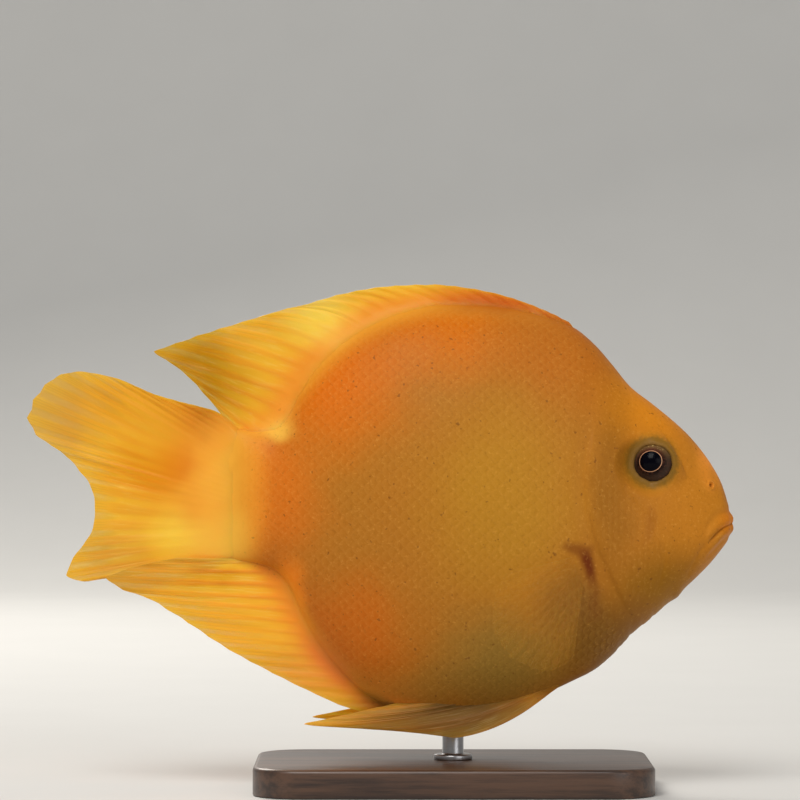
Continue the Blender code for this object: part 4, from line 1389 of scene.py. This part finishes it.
    def pectoral(self, side: Side) -> Fin:
        """A clear rounded fan behind the gill opening, held out and back and down."""
        flare = math.radians(self.pectoral_flare)
        first, last = self.pectoral_fan
        top, bottom = np.array(self.pectoral_base)
        roots, tips = [], []
        for share in np.linspace(0, 1, self.pectoral_count):
            x, z = top * (1 - share) + bottom * share
            turn = math.radians(first + (last - first) * share)
            length = self.pectoral_length * np.interp(share, *zip(*self.pectoral_lengths))
            root = np.array((x, side.value * (float(self.trunk.flank(x, z)) - self.sunk), z))
            back, down = (way(turn) * math.cos(flare) for way in (math.cos, math.sin))
            roots.append(root)
            tips.append(root + np.array((-back, side.value * math.sin(flare), -down)) * (length + self.sunk))
        sags = np.tile((0.0, side.value * 1.4, 0.0), (self.pectoral_count, 1))
        return Fin(
            f"pectoral_fin_{side.word}", np.array(roots), np.array(tips), sags, STRAIGHT,
            np.full(self.pectoral_count - 1, self.soft_notch), soft_from=1, rows=56, fleshy=1.2, fillet=2.4,
            fillet_reach=2.2, membrane=0.1, ridge=0.2, spine_ridge=0.2, ripple=0.12, root_fade=(4.4, 2.4),
        )

    def pelvic(self, side: Side) -> Fin:
        """A narrow fin under the breast: a spine and five soft rays that trail back along the belly."""
        count = len(self.pelvic_tips)
        mirrored = np.array((1.0, side.value, 1.0))
        lift = np.array(self.pelvic_left_lift) * (side is Side.LEFT)
        roots = smooth(self.pelvic_roots, np.linspace(0, 1, count)) * mirrored
        tips = np.array(self.pelvic_tips) * mirrored + lift
        sags = self.flat(0.0, -np.array(self.pelvic_sag)) + (0.0, side.value * self.pelvic_bow, 0.0)
        return Fin(
            f"pelvic_fin_{side.word}", roots, tips, sags, STRAIGHT,
            np.full(count - 1, 0.012), soft_from=1, columns=30, rows=90, fleshy=1.2, fillet=2.0,
            fillet_reach=3.0, membrane=0.16, ridge=0.26, spine_ridge=0.3, ripple=0.08, root_fade=(9.0, 3.0),
        )

    def build(self) -> None:
        """Makes and dresses every fin."""
        for fin, finish in (
            (self.dorsal(), FinFinish(self.markings_and_shading, ray_tint=0.06, light_streaks=0.14)),
            (self.anal(), FinFinish(self.markings_and_shading, ray_tint=0.18)),
            (self.tail(), FinFinish(self.markings_and_shading)),
        ):
            fin.build(finish.material(fin.name.replace("_fin", " membrane")))
        clear = FinFinish(self.markings_and_shading, root_alpha=0.06, edge_alpha=0.025, ray_alpha=0.04)
        low = FinFinish(self.markings_and_shading, edge_alpha=0.9, ray_tint=0.2)
        pectoral, pelvic = clear.material("clear membrane"), low.material("pelvic membrane")
        for side in Side:
            self.pectoral(side).build(pectoral)
            self.pelvic(side).build(pelvic)


# Eyes


@dataclass(frozen=True)
class EyeFinish:
    """The eyeball's colours by the distance from the middle of the pupil."""

    pupil: float
    ring: float
    iris: float

    def material(self) -> Material:
        """Makes the material: a black pupil, a thin pale ring, a dark brown iris and a grey rim, with painted
        light: paler on the top of the ball, with painted glints there.
        """
        settings = {"Coat_Weight": 0.03, "Coat_Roughness": 0.02, "Specular_IOR_Level": 0.05}
        made, w, shader = principled("eyeball", **settings)
        spot = w.fish_place()
        r, lit = w.attribute("gaze"), w.attribute("lit")
        mottle = w.math("SUBTRACT", w.noise(spot, 1.4, 4.0), 0.5)
        ragged = w.plus(r, w.times(mottle, 0.35))
        # Painted light: the iris and its rim paler on the top of the ball, where the light falls
        inner = w.blend(lit, linear(30, 16, 12), linear(96, 52, 34))
        outer = w.blend(lit, linear(66, 50, 40), linear(128, 98, 58))
        colour = w.blend(w.ramp(ragged, self.ring + 0.2, self.iris), inner, outer)
        colour = w.tint(colour, w.ramp(mottle, 0.02, 0.2), 0.35, (110, 66, 50))
        # Painted highlights: small pale glints on the lit top of the iris
        glint_spots = w.ramp(w.noise(spot, 2.2, 1.0), 0.62, 0.7)
        glints = w.times(glint_spots, w.ramp(ragged, self.ring + 0.5, self.iris))
        colour = w.blend(w.times(glints, lit), colour, linear(214, 186, 120))
        past_pupil = w.ramp(r, self.pupil - 0.05, self.pupil + 0.05)
        pale = w.times(past_pupil, w.ramp(r, self.ring + 0.06, self.ring - 0.02))
        colour = w.tint(colour, pale, 0.85, (236, 176, 134))
        colour = w.blend(w.ramp(r, self.pupil + 0.03, self.pupil - 0.08), colour, linear(4, 4, 12))
        rough = w.ramp(r, self.pupil - 0.1, self.pupil + 0.1, 0.08, 0.4)
        w.surface(shader, colour, rough, w.bump(w.noise(spot, 2.6, 4.0), 0.4, 0.12))
        return made


@dataclass
class Eye:
    """An eyeball whose front bulges a little over the pupil."""

    trunk: Trunk
    side: Side
    pupil: float = 3.0
    ring: float = 3.14
    iris: float = 4.9
    bulge: float = 0.4
    segments: int = 128
    rings: int = 96
    clearance: float = 0.06

    def build(self) -> None:
        """Makes the eyeball from a ball whose pole is turned the way the eye looks."""
        trunk = self.trunk
        deselect()
        bpy.ops.mesh.primitive_uv_sphere_add(segments=self.segments, ring_count=self.rings, radius=1.0)
        ball = named(f"eyeball_{self.side.word}")
        local = points_of(ball) * (trunk.eye_radius - self.clearance)
        r = np.linalg.norm(local[:, :2], axis=1)
        front = local[:, 2] > 0
        local[:, 2] += np.where(front, self.bulge * step(self.iris + 0.4, 0.0, r), 0)
        r = np.hypot(local[:, 0] * trunk.oval[0], local[:, 1] * trunk.oval[2])
        look = Vector(trunk.sideways(trunk.gaze, self.side))
        turn = np.array(Vector((0, 0, 1)).rotation_difference(look).to_matrix())
        set_points(ball, place(local @ turn.T + np.array(trunk.eye_centre(self.side))))
        paint(ball, "gaze", np.where(front, r, 2 * self.iris))
        # How far up the eyeball each point lies, for the painted light on its top
        height = points_of(ball)[:, 2] / MM - BODY_HEIGHT - trunk.eye_spot[1]
        paint(ball, "lit", step(-1.0, 5.2, height))
        dress(ball, EyeFinish(self.pupil, self.ring, self.iris).material(), 80.0)
        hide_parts(f"eye_{self.side.word}")


# The display stand


@dataclass(frozen=True)
class WoodFinish:
    """Dark satin wood with its grain along the base."""

    dark: Triple = (52, 38, 32)
    pale: Triple = (92, 66, 50)

    def material(self) -> Material:
        """Makes the material."""
        made, w, shader = principled("dark wood", Coat_Weight=0.25, Coat_Roughness=0.25)
        grain = w.scaled(w.fish_place(), (0.05, 1.0, 1.0))
        fibres = w.noise(grain, 2.6, 5.0, 0.7)
        mask = w.plus(w.times(w.noise(grain, 0.35, 4.0, 0.6), 0.7), w.times(fibres, 0.3))
        colour = w.blend(w.ramp(mask, 0.36, 0.62), linear(*self.dark), linear(*self.pale))
        w.surface(shader, colour, w.plus(w.times(fibres, 0.2), 0.3), w.bump(fibres, 0.3, 0.08))
        return made


@dataclass(frozen=True)
class SteelFinish:
    """Brushed steel, brushed round the rod."""

    dark: Triple = (150, 150, 152)
    pale: Triple = (196, 196, 198)

    def material(self) -> Material:
        """Makes the material."""
        made, w, shader = principled("brushed steel", Metallic=1.0)
        lines = w.noise(w.scaled(w.fish_place(), (0.2, 0.2, 6.0)), 1.6, 4.0, 0.6)
        colour = w.blend(lines, linear(*self.dark), linear(*self.pale))
        w.surface(shader, colour, w.plus(w.times(lines, 0.2), 0.22), w.bump(lines, 0.15, 0.05))
        return made


@dataclass
class Stand:
    """A flat base with rounded corners, and one short rod with a collar up to the belly."""

    length: float = 112.0
    width: float = 72.0
    thickness: float = 8.0
    corner: float = 14.0
    edge: float = 1.2
    foot_edge: float = 0.4
    rod_radius: float = 3.0
    collar_radius: float = 5.5
    collar_height: float = 1.6
    rod_edge: float = 0.45
    belly: float = -61.1

    def build(self) -> None:
        """Makes the base and the rod."""
        self.base()
        self.rod()

    def base(self) -> None:
        """The base: a block with its upright edges rounded, then its top and bottom edges eased."""
        deselect()
        bpy.ops.mesh.primitive_cube_add(size=1.0, location=(0, 0, self.thickness / 2 * MM))
        bpy.context.active_object.scale = (self.length * MM, self.width * MM, self.thickness * MM)
        base = named("display_base")
        hair = 0.01 * MM
        top = self.thickness * MM - hair
        for test, offset, segments in (
            (lambda low, high: high - low > MM, self.corner, 12),
            (lambda low, high: low > top, self.edge, 4),
            (lambda low, high: high < hair, self.foot_edge, 2),
        ):
            pick(base, "EDGE", lambda edge: test(*sorted(end.co.z for end in edge.verts)))
            bpy.ops.mesh.bevel(offset=offset * MM, segments=segments, profile=0.5, affect="EDGES")
            bpy.ops.object.mode_set(mode="OBJECT")
        dress(base, WoodFinish().material(), 30.0)
        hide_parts("stand_base")

    def rod(self) -> None:
        """The rod: a cylinder whose foot is widened into a collar, with its edges eased."""
        foot = self.thickness - 0.02
        top = BODY_HEIGHT + self.belly + 1.0
        deselect()
        bpy.ops.mesh.primitive_cylinder_add(
            vertices=64, radius=self.collar_radius * MM, depth=self.collar_height * MM,
            location=(0, 0, (foot + self.collar_height / 2) * MM),
        )
        rod = named("display_rod")
        pick(rod, "FACE", lambda face: face.normal.z > 0.9)
        bpy.ops.mesh.inset(thickness=(self.collar_radius - self.rod_radius) * MM)
        rise = (top - foot - self.collar_height) * MM
        bpy.ops.mesh.extrude_region_move(TRANSFORM_OT_translate={"value": (0, 0, rise)})
        bpy.ops.object.mode_set(mode="OBJECT")
        bevel = rod.modifiers.new("eased", "BEVEL")
        bevel.width = self.rod_edge * MM
        bevel.segments = 3
        bevel.limit_method = "ANGLE"
        apply_modifiers(rod)
        dress(rod, SteelFinish().material(), 30.0)
        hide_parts("stand_rod")


# The studio


@dataclass
class Studio:
    """A pale floor that curves up behind, soft lights and the camera."""

    pale: Triple = (214, 214, 212)
    camera_place: Triple = (-0.015, -1.2, 0.1098)
    lens: float = 190.6
    turns_up: float = 1.2
    turn_radius: float = 0.8
    width: float = 7.0
    sunk: float = 0.0001

    def build(self) -> None:
        """Makes the floor, the lights and the camera."""
        self.floor()
        self.light("key", (-0.6, -1.6, 2.2), (0.0, 0.0, 0.09), 1.4, 44.0, (1.0, 0.97, 0.93))
        self.light("fill", (1.4, -1.8, 0.7), (0.0, 0.0, 0.08), 1.2, 8.0, (1.0, 1.0, 1.0))
        self.light("glow", (-0.5, 1.0, 0.9), (-0.04, 0.0, 0.09), 0.6, 12.0, (1.0, 0.95, 0.88))
        self.sky()
        self.camera()

    def floor(self) -> None:
        """The floor: a plane whose far edge is drawn up in a curve behind the fish."""
        deselect()
        bpy.ops.mesh.primitive_grid_add(
            x_subdivisions=4, y_subdivisions=120, size=self.width, location=(0, 0, -self.sunk),
        )
        floor = named("studio_floor")
        points = points_of(floor)
        past = np.clip(points[:, 1] - self.turns_up, 0, None) / self.turn_radius
        turn = np.minimum(past, math.pi / 2)
        points[:, 1] -= (past - np.sin(turn)) * self.turn_radius
        points[:, 2] += (1 - np.cos(turn) + past - turn) * self.turn_radius
        set_points(floor, points)
        only(floor)
        bpy.ops.object.shade_smooth()
        made, w, shader = principled("studio paper", Roughness=0.9)
        mottle = w.noise(w.fish_place(), 0.02, 2.0)
        shade = linear(*(part - 4 for part in self.pale))
        w.fill(shader, {"Base Color": w.blend(mottle, linear(*self.pale), shade)})
        floor.data.materials.append(made)

    @staticmethod
    def light(name: str, spot: Triple, target: Triple, size: float, power: float, colour: Triple) -> None:
        """A soft square light.

        Args:
            name: Its name.
            spot: Where it stands.
            target: What it faces.
            size: The length of its side.
            power: Its power in watts.
            colour: Its linear colour.
        """
        lamp = bpy.data.lights.new(name, "AREA")
        lamp.size = size
        lamp.energy = power
        lamp.color = colour
        holder = in_scene(name, lamp)
        holder.location = spot
        holder.rotation_euler = (Vector(target) - Vector(spot)).to_track_quat("-Z", "Y").to_euler()

    @staticmethod
    def sky() -> None:
        """An even pale surrounding light."""
        world = bpy.data.worlds.new("studio")
        world.use_nodes = True
        back = world.node_tree.nodes["Background"]
        back.inputs["Color"].default_value = (1.0, 0.98, 0.95, 1.0)
        back.inputs["Strength"].default_value = 0.27
        bpy.context.scene.world = world

    def camera(self) -> None:
        """The camera, which looks at the fish's right flank from straight beside it."""
        data = bpy.data.cameras.new("camera")
        data.lens = self.lens
        data.sensor_width = 36.0
        data.clip_start, data.clip_end = 0.05, 50.0
        camera = in_scene("camera", data)
        camera.location = self.camera_place
        camera.rotation_euler = (math.pi / 2, 0.0, 0.0)
        bpy.context.scene.camera = camera
        bpy.context.scene.view_settings.view_transform = "Standard"


def main() -> None:
    """Builds the fish, its stand and the studio, in order."""
    logging.basicConfig(level=logging.INFO, format="%(message)s")
    trunk = Trunk()
    markings_and_shading = markings_group()
    Studio().build()
    Flesh(trunk, SkinFinish(markings_and_shading)).build()
    coat = ScaleCoat(trunk, SkinFinish(markings_and_shading, scaled=True))
    for side in Side:
        coat.build(side)
        Eye(trunk, side).build()
    FinSet(trunk, markings_and_shading).build()
    Stand().build()


if __name__ == "__main__":
    main()
